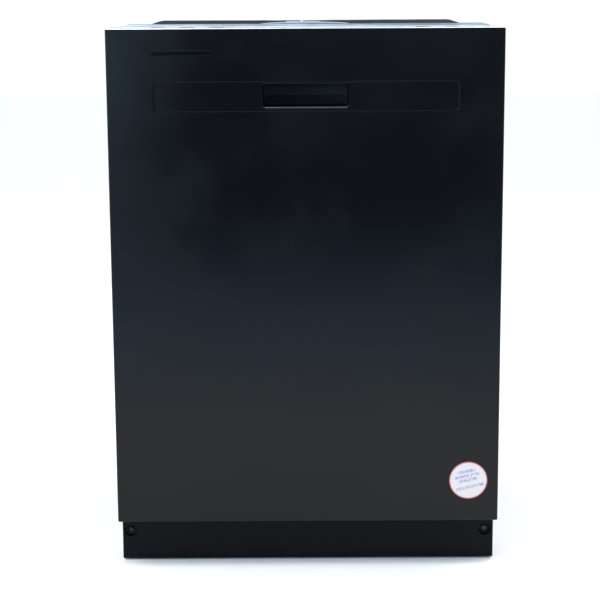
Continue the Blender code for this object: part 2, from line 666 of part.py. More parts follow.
def make_dispenser(door):
    case = block((0.0205, 0.1795), (0.0160, 0.0500), (0.4155, 0.5645))
    dispenser = piece("dispenser_body", case, "grey_plastic", door, smooth=False)
    join(
        dispenser,
        slab((0.0100, 0.1900), (0.4050, 0.5750), 0.008, (0.0356, 0.0420)),
        block((0.0220, 0.1860), (0.0410, 0.0545), (0.4925, 0.4955)),
        block((0.0220, 0.1860), (0.0410, 0.0545), (0.4245, 0.4275)),
    )
    cut(
        dispenser,
        slab((0.1080, 0.1780), (0.4320, 0.4880), 0.006, (0.0260, 0.0700)),
        rod("Y", (RINSE_X, RINSE_Z), 0.0125, at(0.0400), at(0.0600)),
    )
    lid = body("dispenser_lid_joint", (0.143, at(0.052), 0.460), door)
    plate = slab((0.1045, 0.1815), (0.4280, 0.4920), 0.003, (0.0504, 0.0534))
    piece("dispenser_lid", plate, "grey_plastic", lid)
    turn = body("rinse_aid_cap_joint", (RINSE_X, at(0.052), RINSE_Z), door)
    plug = [(at(0.0410), 0), (at(0.0410), 0.0120), (at(0.0503), 0.0120)]
    knob = [(at(0.0503), 0.0190), (at(0.0540), 0.0180), (at(0.0540), 0)]
    cap = piece("rinse_aid_cap", turned("Y", (RINSE_X, RINSE_Z), plug + knob), "grey_plastic", turn)
    join(cap, block((RINSE_X - 0.014, RINSE_X + 0.014), (0.0535, 0.0575), (RINSE_Z - 0.002, RINSE_Z + 0.002)))


def make_label(door):
    disc = rod("Y", (LABEL_X, LABEL_Z), LABEL_RADIUS, at(-0.0007), at(-0.0003), 32)
    piece("round_label", disc, "label", door, smooth=False)


# ---------------------------------------------------------------- latch strike and door balance
def make_strike_bracket():
    """Crowned plate on top of the tub, with a web through it down to the tongue that the latch takes."""
    half, low, edge, crown = 0.0735, TUB_TOP + GAP, 0.8580, 0.8655
    turns = [math.radians(angle) for angle in range(0, 181, 15)]
    sweep = [(half * math.cos(turn), edge + (crown - edge) * math.sin(turn)) for turn in turns]
    plate = prism("Y", [*sweep, (-half, low), (half, low)], at(0.0645), at(0.1000))
    strike = piece("strike_bracket", plate, "stainless")
    join(
        strike,
        block((-0.0298, 0.0238), (0.0700, 0.0960), (0.8560, 0.8672)),
        rod("Z", (-0.0038, at(0.083)), 0.0050, 0.8600, 0.8700, 12),
        block((-0.0120, 0.0120), (0.0660, 0.0720), (0.8310, 0.8560)),
        block((-0.0120, 0.0120), (0.0320, 0.0715), (0.8305, 0.8330)),
    )


def make_upper_rail(name, side):
    channel = block(mirror_x((0.2640, 0.2817), side), (0.0700, 0.5600), (0.5640, 0.5860))
    rail = piece(name, channel, "grey_plastic", smooth=False)
    cut(rail, block(mirror_x((0.2600, 0.2795), side), (0.0600, 0.5700), (0.5665, 0.5835)))


def make_door_spring(name, side):
    """Coil spring from its anchor on the base to the link."""
    turns, per_turn, radius, front, back = 11, 6, 0.0055, 0.2060, 0.4512
    steps = turns * per_turn
    z = HINGE_Z + CAM_RADIUS
    route = []
    for i in range(steps + 1):
        turn = 2 * math.pi * i / per_turn
        depth = front + (back - front) * i / steps
        route.append((SPRING_X * side + radius * math.cos(turn), depth, z + radius * math.sin(turn)))
    tube(name, behind(route), 0.0009, "spring_steel", resolution=0)


def make_spring_link(name, side):
    """Rod that joins the end of the hinge cable to the spring and slides forward as the door opens."""
    z = HINGE_Z + CAM_RADIUS
    carrier = body(name + "_joint", (SPRING_X * side, at(0.095), z))
    shaft = rod("Y", (SPRING_X * side, z), 0.0019, at(0.0950), at(0.2040), 12)
    link = piece(name, shaft, "spring_steel", carrier)
    join(link, rod("Y", (SPRING_X * side, z), 0.0050, at(0.2010), at(0.2045), 12))


# ---------------------------------------------------------------- racks
def wire_basket(name, half, floor, rim, cells, carrier):
    """Open basket: a grid box with no lid whose edges become wires."""
    across, deep, tall = cells
    shape = bmesh.new()
    cube = bmesh.ops.create_cube(shape, size=1)
    for vert in cube["verts"]:
        vert.co.x = math.copysign(half, vert.co.x)
        vert.co.y = at(RACK_BACK if vert.co.y > 0 else RACK_FRONT)
        vert.co.z = rim if vert.co.z > 0 else floor
    lid = [f for f in shape.faces if all(abs(v.co.z - rim) < 1e-6 for v in f.verts)]
    bmesh.ops.delete(shape, geom=lid, context="FACES_ONLY")
    spans = ((0, across, -half, half), (1, deep, at(RACK_FRONT), at(RACK_BACK)), (2, tall, floor, rim))
    for axis, count, low, high in spans:
        for i in range(1, count):
            normal = Vector((0, 0, 0))
            normal[axis] = 1
            place = normal * (low + (high - low) * i / count)
            everything = [*shape.verts, *shape.edges, *shape.faces]
            bmesh.ops.bisect_plane(shape, geom=everything, plane_co=place, plane_no=normal, dist=1e-6)
    basket = piece(name, shape, "rack_coating", carrier, smooth=False)
    wires = basket.modifiers.new("wires", "WIREFRAME")
    wires.thickness = WIRE
    wires.use_boundary = True
    wires.use_even_offset = True
    basket.modifiers.new("flat_faces", "TRIANGULATE")
    return basket


def make_upper_rack(carrier):
    rack = wire_basket("upper_rack", UPPER_HALF, UPPER_FLOOR, UPPER_RIM, (6, 5, 2), carrier)
    for side in SIDES.values():
        join(rack, block(mirror_x((UPPER_HALF - 0.001, 0.2770), side), (0.0950, 0.5380), (0.5700, 0.5800)))


def make_rack_manifold(carrier):
    route = [(0, 0.569, 0.468), (0, ARM_DEPTH, 0.468), (0, ARM_DEPTH, 0.448)]
    tube("rack_manifold", bend(behind(route), 0.010), 0.007, "grey_plastic", carrier)


def make_upper_spray_arm(parent):
    carrier = body("upper_spray_arm_joint", (0, at(ARM_DEPTH), 0.445), parent)
    spray_arm("upper_spray_arm", 0.4395, 0.215, 0.020, 0.020, 0.0076, (0.4465, 0.4560), carrier)


def make_lower_rack(carrier):
    rack = wire_basket("lower_rack", LOWER_HALF, LOWER_FLOOR, LOWER_RIM, (6, 5, 2), carrier)
    for side in SIDES.values():
        for depth in WHEEL_DEPTHS.values():
            across = mirror_x((LOWER_HALF - 0.001, LOWER_HALF + 0.0035), side)
            hanger = block(across, (depth - 0.006, depth + 0.006), (0.1560, 0.2560))
            stub = rod("X", (at(depth), WHEEL_Z), 0.003, *mirror_x((LOWER_HALF + 0.001, 0.2590), side), 12)
            join(rack, hanger, stub)


def make_rack_wheel(name, side, depth, parent):
    carrier = body(name + "_joint", (0.2505 * side, at(depth), WHEEL_Z), parent)
    low, high = mirror_x((0.2455, 0.2555), side)
    wheel = piece(name, rod("X", (at(depth), WHEEL_Z), WHEEL_RADIUS, low, high, 24), "grey_plastic", carrier)
    cut(wheel, rod("X", (at(depth), WHEEL_Z), 0.0034, low - 0.01, high + 0.01, 12))


def make_silverware_basket(parent):
    half, front, back, low, high = 0.125, 0.096, 0.166, 0.1850, 0.3000
    carrier = body("silverware_basket_joint", (0, at(0.131), low), parent)
    case = block((-half, half), (front, back), (low, high))
    basket = piece("silverware_basket", case, "grey_plastic", carrier, smooth=False)
    wall, cells = 0.0025, 4
    pitch = (2 * half - wall) / cells
    for i in range(cells):
        left = -half + wall + i * pitch
        cell = (left, left + pitch - wall)
        cut(basket, block(cell, (front + wall, back - wall), (low + wall, high + 0.01)))
    middle = (front + back) / 2
    handle = [(-0.045, high - 0.020), (-0.036, 0.3380), (0.036, 0.3380), (0.045, high - 0.020)]
    opening = [(0.039, high + 0.004), (0.031, 0.3320), (-0.031, 0.3320), (-0.039, high + 0.004)]
    bar = prism("Y", handle, at(middle - 0.003), at(middle + 0.003))
    join(basket, bar)
    cut(basket, prism("Y", opening, at(middle - 0.02), at(middle + 0.02)))


def make_fold_down_tines(parent):
    carrier = body("fold_down_tines_joint", (0, at(TINE_DEPTH), TINE_Z), parent)
    half, width, pins, top = 0.200, 0.004, 9, 0.288
    low, shoulder = TINE_Z - width / 2, TINE_Z + width / 2
    pitch = (2 * half - width) / (pins - 1)
    outline = [(half, low), (-half, low)]
    for i in range(pins):
        left = -half + i * pitch
        outline += [(left, shoulder), (left, top), (left + width, top), (left + width, shoulder)]
    outline = [p for p in outline if p not in ((-half, shoulder), (half, shoulder))]
    comb = prism("Y", outline, at(TINE_DEPTH) - width / 2, at(TINE_DEPTH) + width / 2)
    piece("fold_down_tines", comb, "rack_coating", carrier, smooth=False)


# ---------------------------------------------------------------- the whole machine
def make_cabinet():
    make_tub()
    make_sound_blanket()
    make_tub_gasket()
    make_base_frame()
    make_toe_panel()
    make_sump()
    make_wash_motor()
    make_drain_pump()
    make_drain_hose()
    make_inlet_valve()
    make_junction_box()
    make_feed_tube()
    make_heating_element()
    make_strike_bracket()
    make_lower_spray_arm()
    make_top_spray_arm()
    make_filter_cup()
    make_float()
    for name, side in SIDES.items():
        make_levelling_leg("levelling_leg_" + name, side)
        make_rear_wheel("rear_wheel_" + name, side)
        make_toe_screw("toe_screw_" + name, side)
        make_upper_rail("upper_rail_" + name, side)
        make_door_spring("door_spring_" + name, side)
        make_spring_link("spring_link_" + name, side)


def make_door():
    door = body("door_hinge", (0, at(HINGE_DEPTH), HINGE_Z))
    make_door_outer_panel(door)
    make_status_window(door)
    make_handle_pocket(door)
    make_control_console(door)
    make_control_board(door)
    make_latch(door)
    make_door_inner_panel(door)
    make_door_bottom_seal(door)
    make_dispenser(door)
    make_label(door)
    for name, x in BUTTONS.items():
        make_button(name, x, door)
    for name, side in SIDES.items():
        make_hinge_arm("hinge_arm_" + name, side, door)


def make_racks():
    upper = body("upper_rack_slide", (0, at(RACK_FRONT), UPPER_FLOOR))
    make_upper_rack(upper)
    make_rack_manifold(upper)
    make_upper_spray_arm(upper)
    lower = body("lower_rack_slide", (0, at(RACK_FRONT), LOWER_FLOOR))
    make_lower_rack(lower)
    make_silverware_basket(lower)
    make_fold_down_tines(lower)
    for name, side in SIDES.items():
        for end, depth in WHEEL_DEPTHS.items():
            make_rack_wheel(f"rack_wheel_{end}_{name}", side, depth, lower)


clear_scene()
MATERIALS = make_materials()
make_cabinet()
make_door()
make_racks()
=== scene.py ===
"""Looks of the built-in dishwasher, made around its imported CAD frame."""

import json
import math

import bmesh
import bpy
from mathutils import Matrix, Vector, noise

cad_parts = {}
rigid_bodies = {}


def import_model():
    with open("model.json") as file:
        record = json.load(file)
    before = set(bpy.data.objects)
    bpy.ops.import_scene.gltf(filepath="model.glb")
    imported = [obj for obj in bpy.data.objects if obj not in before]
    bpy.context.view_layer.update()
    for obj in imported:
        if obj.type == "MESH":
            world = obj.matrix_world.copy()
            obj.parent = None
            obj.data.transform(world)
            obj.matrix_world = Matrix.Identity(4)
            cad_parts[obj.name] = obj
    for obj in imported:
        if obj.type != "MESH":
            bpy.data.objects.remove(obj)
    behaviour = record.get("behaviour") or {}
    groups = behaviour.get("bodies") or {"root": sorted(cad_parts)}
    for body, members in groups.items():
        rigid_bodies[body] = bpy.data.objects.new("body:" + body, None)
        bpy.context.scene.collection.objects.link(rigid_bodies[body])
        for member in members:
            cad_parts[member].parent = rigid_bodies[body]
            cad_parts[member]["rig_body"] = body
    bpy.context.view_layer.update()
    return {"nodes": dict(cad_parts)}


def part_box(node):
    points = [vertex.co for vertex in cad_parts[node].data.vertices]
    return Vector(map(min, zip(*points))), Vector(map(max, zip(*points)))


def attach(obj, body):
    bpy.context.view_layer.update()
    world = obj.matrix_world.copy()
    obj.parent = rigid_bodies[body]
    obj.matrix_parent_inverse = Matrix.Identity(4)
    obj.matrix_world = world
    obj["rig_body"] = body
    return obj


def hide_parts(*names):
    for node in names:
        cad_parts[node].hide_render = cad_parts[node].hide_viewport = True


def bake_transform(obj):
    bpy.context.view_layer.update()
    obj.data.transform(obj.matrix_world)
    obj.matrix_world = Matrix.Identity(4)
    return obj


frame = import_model()
NODES = frame["nodes"]

# Sizes read from the frame, in metres. Depths are measured back from the door's face.
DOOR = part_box("door_outer_panel")
FRONT = DOOR[0].y

SIDES = {"left": -1, "right": 1}
SHEET = 0.0009  # thickness of the painted sheets

# The pressed band in the door with its handle pocket, and the status strip above it.
BAND_HALF, BAND_LOW, BAND_TOP, BAND_DEPTH = 0.234, 0.7338, 0.7788, 0.0016
POCKET_HALF, POCKET_LOW, POCKET_TOP = 0.067, 0.7374, 0.7770
PRESSED_CORNER = 0.006
BAND_STEP = 0.0015
STRIP_X, STRIP_Z = (-0.2325, -0.1423), (0.8190, 0.8254)

TOE_SCREW_X, TOE_SCREW_Z = 0.288, 0.0505


def at(depth):
    """The Y place of a depth behind the door's face."""
    return FRONT + depth


def extents(node):
    """A CAD node's spans along X, Y and Z."""
    return list(zip(*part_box(node)))


def mirror_x(span, side):
    return tuple(sorted((span[0] * side, span[1] * side)))


def grow(span, by):
    """A span that is longer at both ends, or shorter where the amount is negative."""
    return (span[0] - by, span[1] + by)


# ---------------------------------------------------------------- finishes
class Nodes:
    """Short names for the shader nodes that the finishes use."""

    def __init__(self, tree):
        self.tree = tree
        self.links = tree.links

    def node(self, kind, **values):
        made = self.tree.nodes.new(kind)
        for key, value in values.items():
            setattr(made, key, value)
        return made

    def feed(self, socket, value):
        if hasattr(value, "is_output"):
            self.links.new(value, socket)
        else:
            socket.default_value = value

    def place(self, stretch=(1, 1, 1), move=(0, 0, 0), turn=0.0):
        """The part's own coordinates, moved, turned about Y and stretched."""
        coordinates = self.node("ShaderNodeTexCoord").outputs["Object"]
        moved = self.node("ShaderNodeVectorMath", operation="ADD")
        self.feed(moved.inputs[0], coordinates)
        moved.inputs[1].default_value = move
        mapping = self.node("ShaderNodeMapping")
        self.feed(mapping.inputs["Vector"], moved.outputs[0])
        mapping.inputs["Rotation"].default_value = (0, turn, 0)
        mapping.inputs["Scale"].default_value = stretch
        return mapping.outputs["Vector"]

    def noise(self, scale, vector, detail=4.0, roughness=0.55):
        made = self.node("ShaderNodeTexNoise")
        self.feed(made.inputs["Vector"], vector)
        made.inputs["Scale"].default_value = scale
        made.inputs["Detail"].default_value = detail
        made.inputs["Roughness"].default_value = roughness
        return made.outputs["Fac"]

    def span(self, value, source, target, curve="SMOOTHSTEP"):
        """Maps a value from one range to another, and holds it at the ends."""
        made = self.node("ShaderNodeMapRange", interpolation_type=curve)
        self.feed(made.inputs["Value"], value)
        made.inputs["From Min"].default_value, made.inputs["From Max"].default_value = source
        made.inputs["To Min"].default_value, made.inputs["To Max"].default_value = target
        return made.outputs["Result"]

    def math(self, operation, first, second=0.0):
        made = self.node("ShaderNodeMath", operation=operation)
        self.feed(made.inputs[0], first)
        self.feed(made.inputs[1], second)
        return made.outputs[0]

    def plus(self, first, second):
        return self.math("ADD", first, second)

    def times(self, first, second):
        return self.math("MULTIPLY", first, second)

    def near(self, value, centre, reach, target):
        """Fades from one value to another with the distance from a centre."""
        return self.span(self.math("ABSOLUTE", self.math("SUBTRACT", value, centre)), reach, target)

    def mix(self, share, first, second):
        made = self.node("ShaderNodeMix", data_type="RGBA")
        self.feed(made.inputs["Factor"], share)
        self.feed(made.inputs["A"], first if hasattr(first, "is_output") else (*first, 1))
        self.feed(made.inputs["B"], second if hasattr(second, "is_output") else (*second, 1))
        return made.outputs["Result"]

    def bump(self, height, distance, under=None):
        made = self.node("ShaderNodeBump")
        made.inputs["Distance"].default_value = distance
        self.feed(made.inputs["Height"], height)
        if under is not None:
            self.feed(made.inputs["Normal"], under)
        return made.outputs["Normal"]


def principled(name):
    made = bpy.data.materials.new(name)
    made.use_nodes = True
    return made, Nodes(made.node_tree), made.node_tree.nodes["Principled BSDF"]


def finish(
    name, dark, light, rough, metallic=0.0, specular=0.5, blotch=9.0, patchy=0.5, grain=400.0,
    stretch=(1, 1, 1), relief=0.00002, wave=0.0, spangle=0.0,
):
    """A material with colour clouds, fine grain in its roughness and relief, and slow waves in the sheet.

    Patchy is the clouds' share in the roughness, beside the grain's. With spangle, zinc flakes take the
    clouds' place.
    """
    made, nodes, shader = principled(name)
    clouds = nodes.span(nodes.noise(blotch, nodes.place()), (0.35, 0.65), (0, 1))
    fine = nodes.noise(grain, nodes.place(stretch), 6.0, 0.6)
    colour = nodes.mix(nodes.plus(nodes.times(clouds, 0.7), nodes.times(fine, 0.3)), dark, light)
    mixed = nodes.plus(nodes.times(clouds, patchy), nodes.times(fine, 1 - patchy))
    if spangle:
        cells = nodes.node("ShaderNodeTexVoronoi")
        nodes.feed(cells.inputs["Vector"], nodes.place())
        cells.inputs["Scale"].default_value = spangle
        flake = nodes.node("ShaderNodeSeparateColor")
        nodes.feed(flake.inputs[0], cells.outputs["Color"])
        colour = nodes.mix(flake.outputs[0], dark, light)
        mixed = nodes.plus(nodes.times(flake.outputs[1], 0.6), nodes.times(fine, 0.4))
    nodes.feed(shader.inputs["Base Color"], colour)
    nodes.feed(shader.inputs["Roughness"], nodes.span(mixed, (0.25, 0.75), rough))
    normal = nodes.bump(fine, relief)
    if wave:
        normal = nodes.bump(nodes.noise(5.0, nodes.place((1, 1, 0.7)), 1.0), wave, normal)
    nodes.feed(shader.inputs["Normal"], normal)
    shader.inputs["Metallic"].default_value = metallic
    shader.inputs["Specular IOR Level"].default_value = specular
    return made


def label_finish():
    """White paper with a thin red rim and short pale blue dashes in four slanted rows."""
    made, nodes, shader = principled("printed_label")
    low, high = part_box("round_label")
    centre, radius = (low + high) / 2, (high.x - low.x) / 2
    slant = math.radians(13)
    parts = nodes.node("ShaderNodeSeparateXYZ")
    nodes.feed(parts.inputs[0], nodes.place(move=tuple(-centre), turn=slant))
    x, z = parts.outputs[0], parts.outputs[2]
    distance = nodes.math("SQRT", nodes.plus(nodes.times(x, x), nodes.times(z, z)))
    rim = nodes.span(distance, (radius * 0.93, radius * 0.955), (0, 1))
    on_line = 0.0
    for height, reach in ((0.50, 0.46), (0.25, 0.64), (0.02, 0.46), (-0.36, 0.74)):
        upright = nodes.near(z, radius * height, (radius * 0.070, radius * 0.085), (1, 0))
        along = nodes.near(x, 0.0, (radius * reach, radius * reach * 1.03), (1, 0))
        on_line = nodes.math("MAXIMUM", nodes.times(upright, along), on_line)
    marks = nodes.noise(1.0, nodes.place((640, 1, 210), tuple(-centre), slant), 0.0)
    print_share = nodes.times(on_line, nodes.span(marks, (0.42, 0.47), (0, 1)))
    fibres = nodes.noise(900.0, nodes.place(), 5.0)
    paper = nodes.mix(fibres, (0.60, 0.530, 0.510), (0.67, 0.605, 0.585))
    printed = nodes.mix(nodes.times(print_share, 0.75), paper, (0.20, 0.22, 0.40))
    nodes.feed(shader.inputs["Base Color"], nodes.mix(nodes.times(rim, 0.85), printed, (0.45, 0.05, 0.07)))
    nodes.feed(shader.inputs["Roughness"], nodes.span(fibres, (0.3, 0.7), (0.42, 0.58)))
    nodes.feed(shader.inputs["Normal"], nodes.bump(fibres, 0.00002))
    return made


def circuit_finish():
    """Green board with copper runs under the lacquer."""
    made, nodes, shader = principled("circuit_board")
    cells = nodes.node("ShaderNodeTexBrick")
    nodes.feed(cells.inputs["Vector"], nodes.place((160, 160, 160)))
    cells.inputs["Color1"].default_value = (0.010, 0.075, 0.030, 1)
    cells.inputs["Color2"].default_value = (0.014, 0.095, 0.040, 1)
    cells.inputs["Mortar"].default_value = (0.06, 0.22, 0.08, 1)
    cells.inputs["Mortar Size"].default_value = 0.06
    nodes.feed(shader.inputs["Base Color"], cells.outputs["Color"])
    lacquer = nodes.noise(60.0, nodes.place())
    nodes.feed(shader.inputs["Roughness"], nodes.span(lacquer, (0.3, 0.7), (0.28, 0.4)))
    nodes.feed(shader.inputs["Normal"], nodes.bump(cells.outputs["Fac"], 0.00004))
    return made


ALONG_X, ALONG_Z = (0.02, 1, 1), (1, 1, 0.02)
FINISHES = {
    "black_enamel": (
        ((0.0028, 0.0032, 0.0038), (0.0040, 0.0045, 0.0051), (0.08, 0.15)),
        {"specular": 0.20, "blotch": 6.0, "grain": 900.0, "stretch": (0.10, 1, 1), "relief": 0.000002,
         "wave": 0.00009},
    ),
    "gloss_black": (
        ((0.0030, 0.0034, 0.0040), (0.0050, 0.0056, 0.0065), (0.10, 0.18)),
        {"grain": 700.0, "relief": 0.000004},
    ),
    "matte_black": (
        ((0.012, 0.013, 0.015), (0.022, 0.023, 0.026), (0.45, 0.62)),
        {"grain": 1600.0, "relief": 0.00003},
    ),
    "toe_enamel": (
        ((0.0014, 0.0017, 0.0023), (0.0028, 0.0032, 0.0042), (0.26, 0.40)),
        {"specular": 0.09, "grain": 1100.0, "relief": 0.00001, "wave": 0.00025},
    ),
    "stainless": (
        ((0.52, 0.53, 0.54), (0.66, 0.67, 0.68), (0.20, 0.34)),
        {"metallic": 1.0, "blotch": 1.6, "patchy": 0.15, "grain": 900.0, "stretch": ALONG_X,
         "relief": 0.00001, "wave": 0.0002},
    ),
    "galvanised": (
        ((0.28, 0.30, 0.32), (0.46, 0.48, 0.50), (0.32, 0.52)),
        {"metallic": 1.0, "grain": 500.0, "relief": 0.00001, "spangle": 110.0},
    ),
    "zinc_screw": (
        ((0.020, 0.021, 0.024), (0.060, 0.062, 0.068), (0.30, 0.48)),
        {"metallic": 1.0, "grain": 2500.0},
    ),
    "spring_steel": (
        ((0.16, 0.16, 0.17), (0.36, 0.36, 0.37), (0.28, 0.48)),
        {"metallic": 1.0, "blotch": 30.0, "grain": 1500.0, "stretch": ALONG_Z},
    ),
    "rubber": (
        ((0.012, 0.012, 0.013), (0.026, 0.026, 0.027), (0.62, 0.82)),
        {"grain": 1400.0, "relief": 0.00004},
    ),
    "grey_plastic": (((0.22, 0.235, 0.25), (0.30, 0.315, 0.33), (0.36, 0.52)), {"grain": 1300.0}),
    "white_plastic": (((0.62, 0.62, 0.59), (0.74, 0.74, 0.71), (0.34, 0.48)), {"grain": 1300.0}),
    "blanket": (
        ((0.0100, 0.0136, 0.0182), (0.0150, 0.0200, 0.0266), (0.86, 0.98)),
        {"specular": 0.06, "blotch": 40.0, "grain": 1100.0, "relief": 0.0006},
    ),
    "rack_coating": (((0.30, 0.33, 0.36), (0.38, 0.41, 0.44), (0.38, 0.52)), {"grain": 1200.0}),
    # Darker, less shiny copy of the gloss black on the pocket's deep inside and side faces: painted shade.
    "pocket_black": (
        ((0.0017, 0.0020, 0.0026), (0.0028, 0.0033, 0.0041), (0.24, 0.36)),
        {"specular": 0.07, "grain": 900.0, "relief": 0.000006},
    ),
    # Lighter copy of the gloss black on the pocket's upper back wall and the faces over the opening: painted
    # light.
    "pocket_back": (
        ((0.0036, 0.0041, 0.0058), (0.0052, 0.0058, 0.0080), (0.30, 0.42)),
        {"specular": 0.12, "grain": 900.0, "relief": 0.000006},
    ),
    # Bright bluish metal on the pocket's bottom lip and on the strip's top edge: a painted highlight.
    "pocket_lip": (
        ((0.055, 0.066, 0.086), (0.080, 0.094, 0.118), (0.16, 0.26)),
        {"metallic": 1.0, "grain": 1200.0, "stretch": ALONG_X, "relief": 0.000004},
    ),
    "lens_black": (
        ((0.0010, 0.0012, 0.0016), (0.0016, 0.0019, 0.0024), (0.12, 0.20)),
        {"specular": 0.10, "grain": 900.0},
    ),
    # Matte, nearly unreflecting copy of the door enamel on step faces of the band, the pocket and the strip:
    # painted shade.
    "dull_edge": (
        ((0.0048, 0.0060, 0.0082), (0.0060, 0.0074, 0.0098), (0.40, 0.55)),
        {"specular": 0.04, "grain": 900.0},
    ),
    # Bright bluish metal on the door's top roll: a painted highlight.
    "bright_edge": (
        ((0.52, 0.57, 0.62), (0.64, 0.70, 0.75), (0.22, 0.34)),
        {"metallic": 1.0, "grain": 1200.0, "stretch": ALONG_X, "relief": 0.000006},
    ),
    # Darker, bluish copy of the stainless on the tub's flange lip: painted shade.
    "painted_shade_flange_steel": (
        ((0.27, 0.31, 0.36), (0.40, 0.45, 0.51), (0.28, 0.42)),
        {"metallic": 1.0, "grain": 1200.0, "stretch": ALONG_X, "relief": 0.00001},
    ),
}
FINISH = {name: finish(name, *ranges, **rest) for name, (ranges, rest) in FINISHES.items()}
FINISH["label"] = label_finish()
FINISH["circuit"] = circuit_finish()


# ---------------------------------------------------------------- mesh helpers
def arc(centre, radius, start, end, steps):
    """Points on an arc, with the angles in degrees."""
    turns = [math.radians(start + (end - start) * i / steps) for i in range(steps + 1)]
    return [(centre[0] + radius * math.cos(t), centre[1] + radius * math.sin(t)) for t in turns]


def rounded(u, v, radius, steps=5):
    """Outline of a rectangle with round corners."""
    corners = (
        (u[1] - radius, v[1] - radius, 0),
        (u[0] + radius, v[1] - radius, 90),
        (u[0] + radius, v[0] + radius, 180),
        (u[1] - radius, v[0] + radius, 270),
    )
    return [p for a, b, turn in corners for p in arc((a, b), radius, turn, turn + 90, steps)]


def lift(outline, axis, place):
    """Puts a 2-D outline at a place along X, Y or Z."""
    along = "XYZ".index(axis)
    points = []
    for point in outline:
        co = list(point)
        co.insert(along, place)
        points.append(Vector(co))
    return points


def rings(shape, loops, closed=True):
    """Joins loops with the same number of points, and returns the vertices of each."""
    made = [[shape.verts.new(p) for p in loop] for loop in loops]
    for first, second in zip(made, made[1:]):
        count = len(first)
        for i in range(count if closed else count - 1):
            j = (i + 1) % count
            shape.faces.new((first[i], first[j], second[j], second[i]))
    return made


def fill(shape, *loops):
    """Fills the flat area between closed loops of vertices."""
    edges = []
    for loop in loops:
        pairs = zip(loop, loop[1:] + loop[:1])
        edges += [shape.edges.get(pair) or shape.edges.new(pair) for pair in pairs]
    bmesh.ops.triangle_fill(shape, use_beauty=True, use_dissolve=False, edges=edges)


def outwards(shape):
    bmesh.ops.recalc_face_normals(shape, faces=shape.faces)


def face_side(shape, measure, side):
    """Turns an open sheet so that its face with the highest measure looks to the front (-1) or back (1)."""
    outwards(shape)
    if max(shape.faces, key=measure).normal.y * side < 0:
        bmesh.ops.reverse_faces(shape, faces=shape.faces)


def capped(loops):
    """A closed shape through loops, filled at both ends."""
    shape = bmesh.new()
    made = rings(shape, loops)
    fill(shape, made[0])
    fill(shape, made[-1])
    outwards(shape)
    return shape


def solid(axis, levels):
    """A closed shape through 2-D outlines at places along an axis."""
    return capped([lift(outline, axis, place) for place, outline in levels])


def soft_block(x, y, z, edge, corner=None, axis="Z", steps=3):
    """A block whose edges are rounded, with bigger corners across one axis."""
    spans = {"X": x, "Y": y, "Z": z}
    along = spans.pop(axis)
    u, v = spans.values()
    corner = max(corner or edge, edge * 1.01)
    turns = [math.radians(90 * i / steps) for i in range(steps + 1)]
    lower = [(edge * (1 - math.sin(t)), edge * (1 - math.cos(t))) for t in turns]
    places = [(inset, along[0] + rise) for inset, rise in lower]
    places += [(inset, along[1] - rise) for inset, rise in reversed(lower)]
    levels = []
    for inset, place in places:
        levels.append((place, rounded(grow(u, -inset), grow(v, -inset), corner - inset * 0.999)))
    return solid(axis, levels)


def turned(axis, centre, profile, sides):
    """Spins a profile of (place along the axis, radius) round it."""
    last = 360 - 360 / sides
    return solid(axis, [(place, arc(centre, radius, 0, last, sides - 1)) for place, radius in profile])


def turned_back(centre, profile, sides):
    """Spins a profile of (depth, radius) round an axis that runs back from the door's face."""
    return turned("Y", centre, [(at(depth), radius) for depth, radius in profile], sides)


def bend(points, radius, steps=5):
    """Rounds every inner corner of a route with an arc that touches both of its straight runs."""
    route = [Vector(points[0])]
    for before, corner, after in zip(points, points[1:], points[2:]):
        corner = Vector(corner)
        into = (Vector(before) - corner).normalized()
        out = (Vector(after) - corner).normalized()
        half = into.angle(out) / 2
        reach = radius / math.tan(half)
        middle = corner + (into + out).normalized() * (radius / math.sin(half))
        start, end = corner + into * reach - middle, corner + out * reach - middle
        turn = start.angle(end)
        for i in range(steps + 1):
            share = i / steps
            offset = (start * math.sin((1 - share) * turn) + end * math.sin(share * turn)) / math.sin(turn)
            route.append(middle + offset)
    route.append(Vector(points[-1]))
    return route


def behind(points):
    """Route points given as (x, depth, z)."""
    return [Vector((x, at(depth), z)) for x, depth, z in points]


def swept(shape, route, radius, sides=10, closed=False):
    """A tube along a route. The radius is a number, or a function of the share of the length."""
    count = len(route)
    lengths = [0.0]
    for a, b in zip(route, route[1:]):
        lengths.append(lengths[-1] + (b - a).length)
    side = None
    loops = []
    for i, point in enumerate(route):
        ahead = route[(i + 1) % count] if closed else route[min(i + 1, count - 1)]
        back = route[(i - 1) % count] if closed else route[max(i - 1, 0)]
        tangent = (ahead - back).normalized()
        if side is None:
            side = tangent.orthogonal().normalized()
        side = (side - tangent * side.dot(tangent)).normalized()
        up = tangent.cross(side)
        size = radius(lengths[i] / lengths[-1]) if callable(radius) else radius
        turns = [2 * math.pi * k / sides for k in range(sides)]
        loops.append([point + (side * math.cos(t) + up * math.sin(t)) * size for t in turns])
    made = rings(shape, loops + loops[:1] if closed else loops)
    if not closed:
        fill(shape, made[0])
        fill(shape, made[-1])


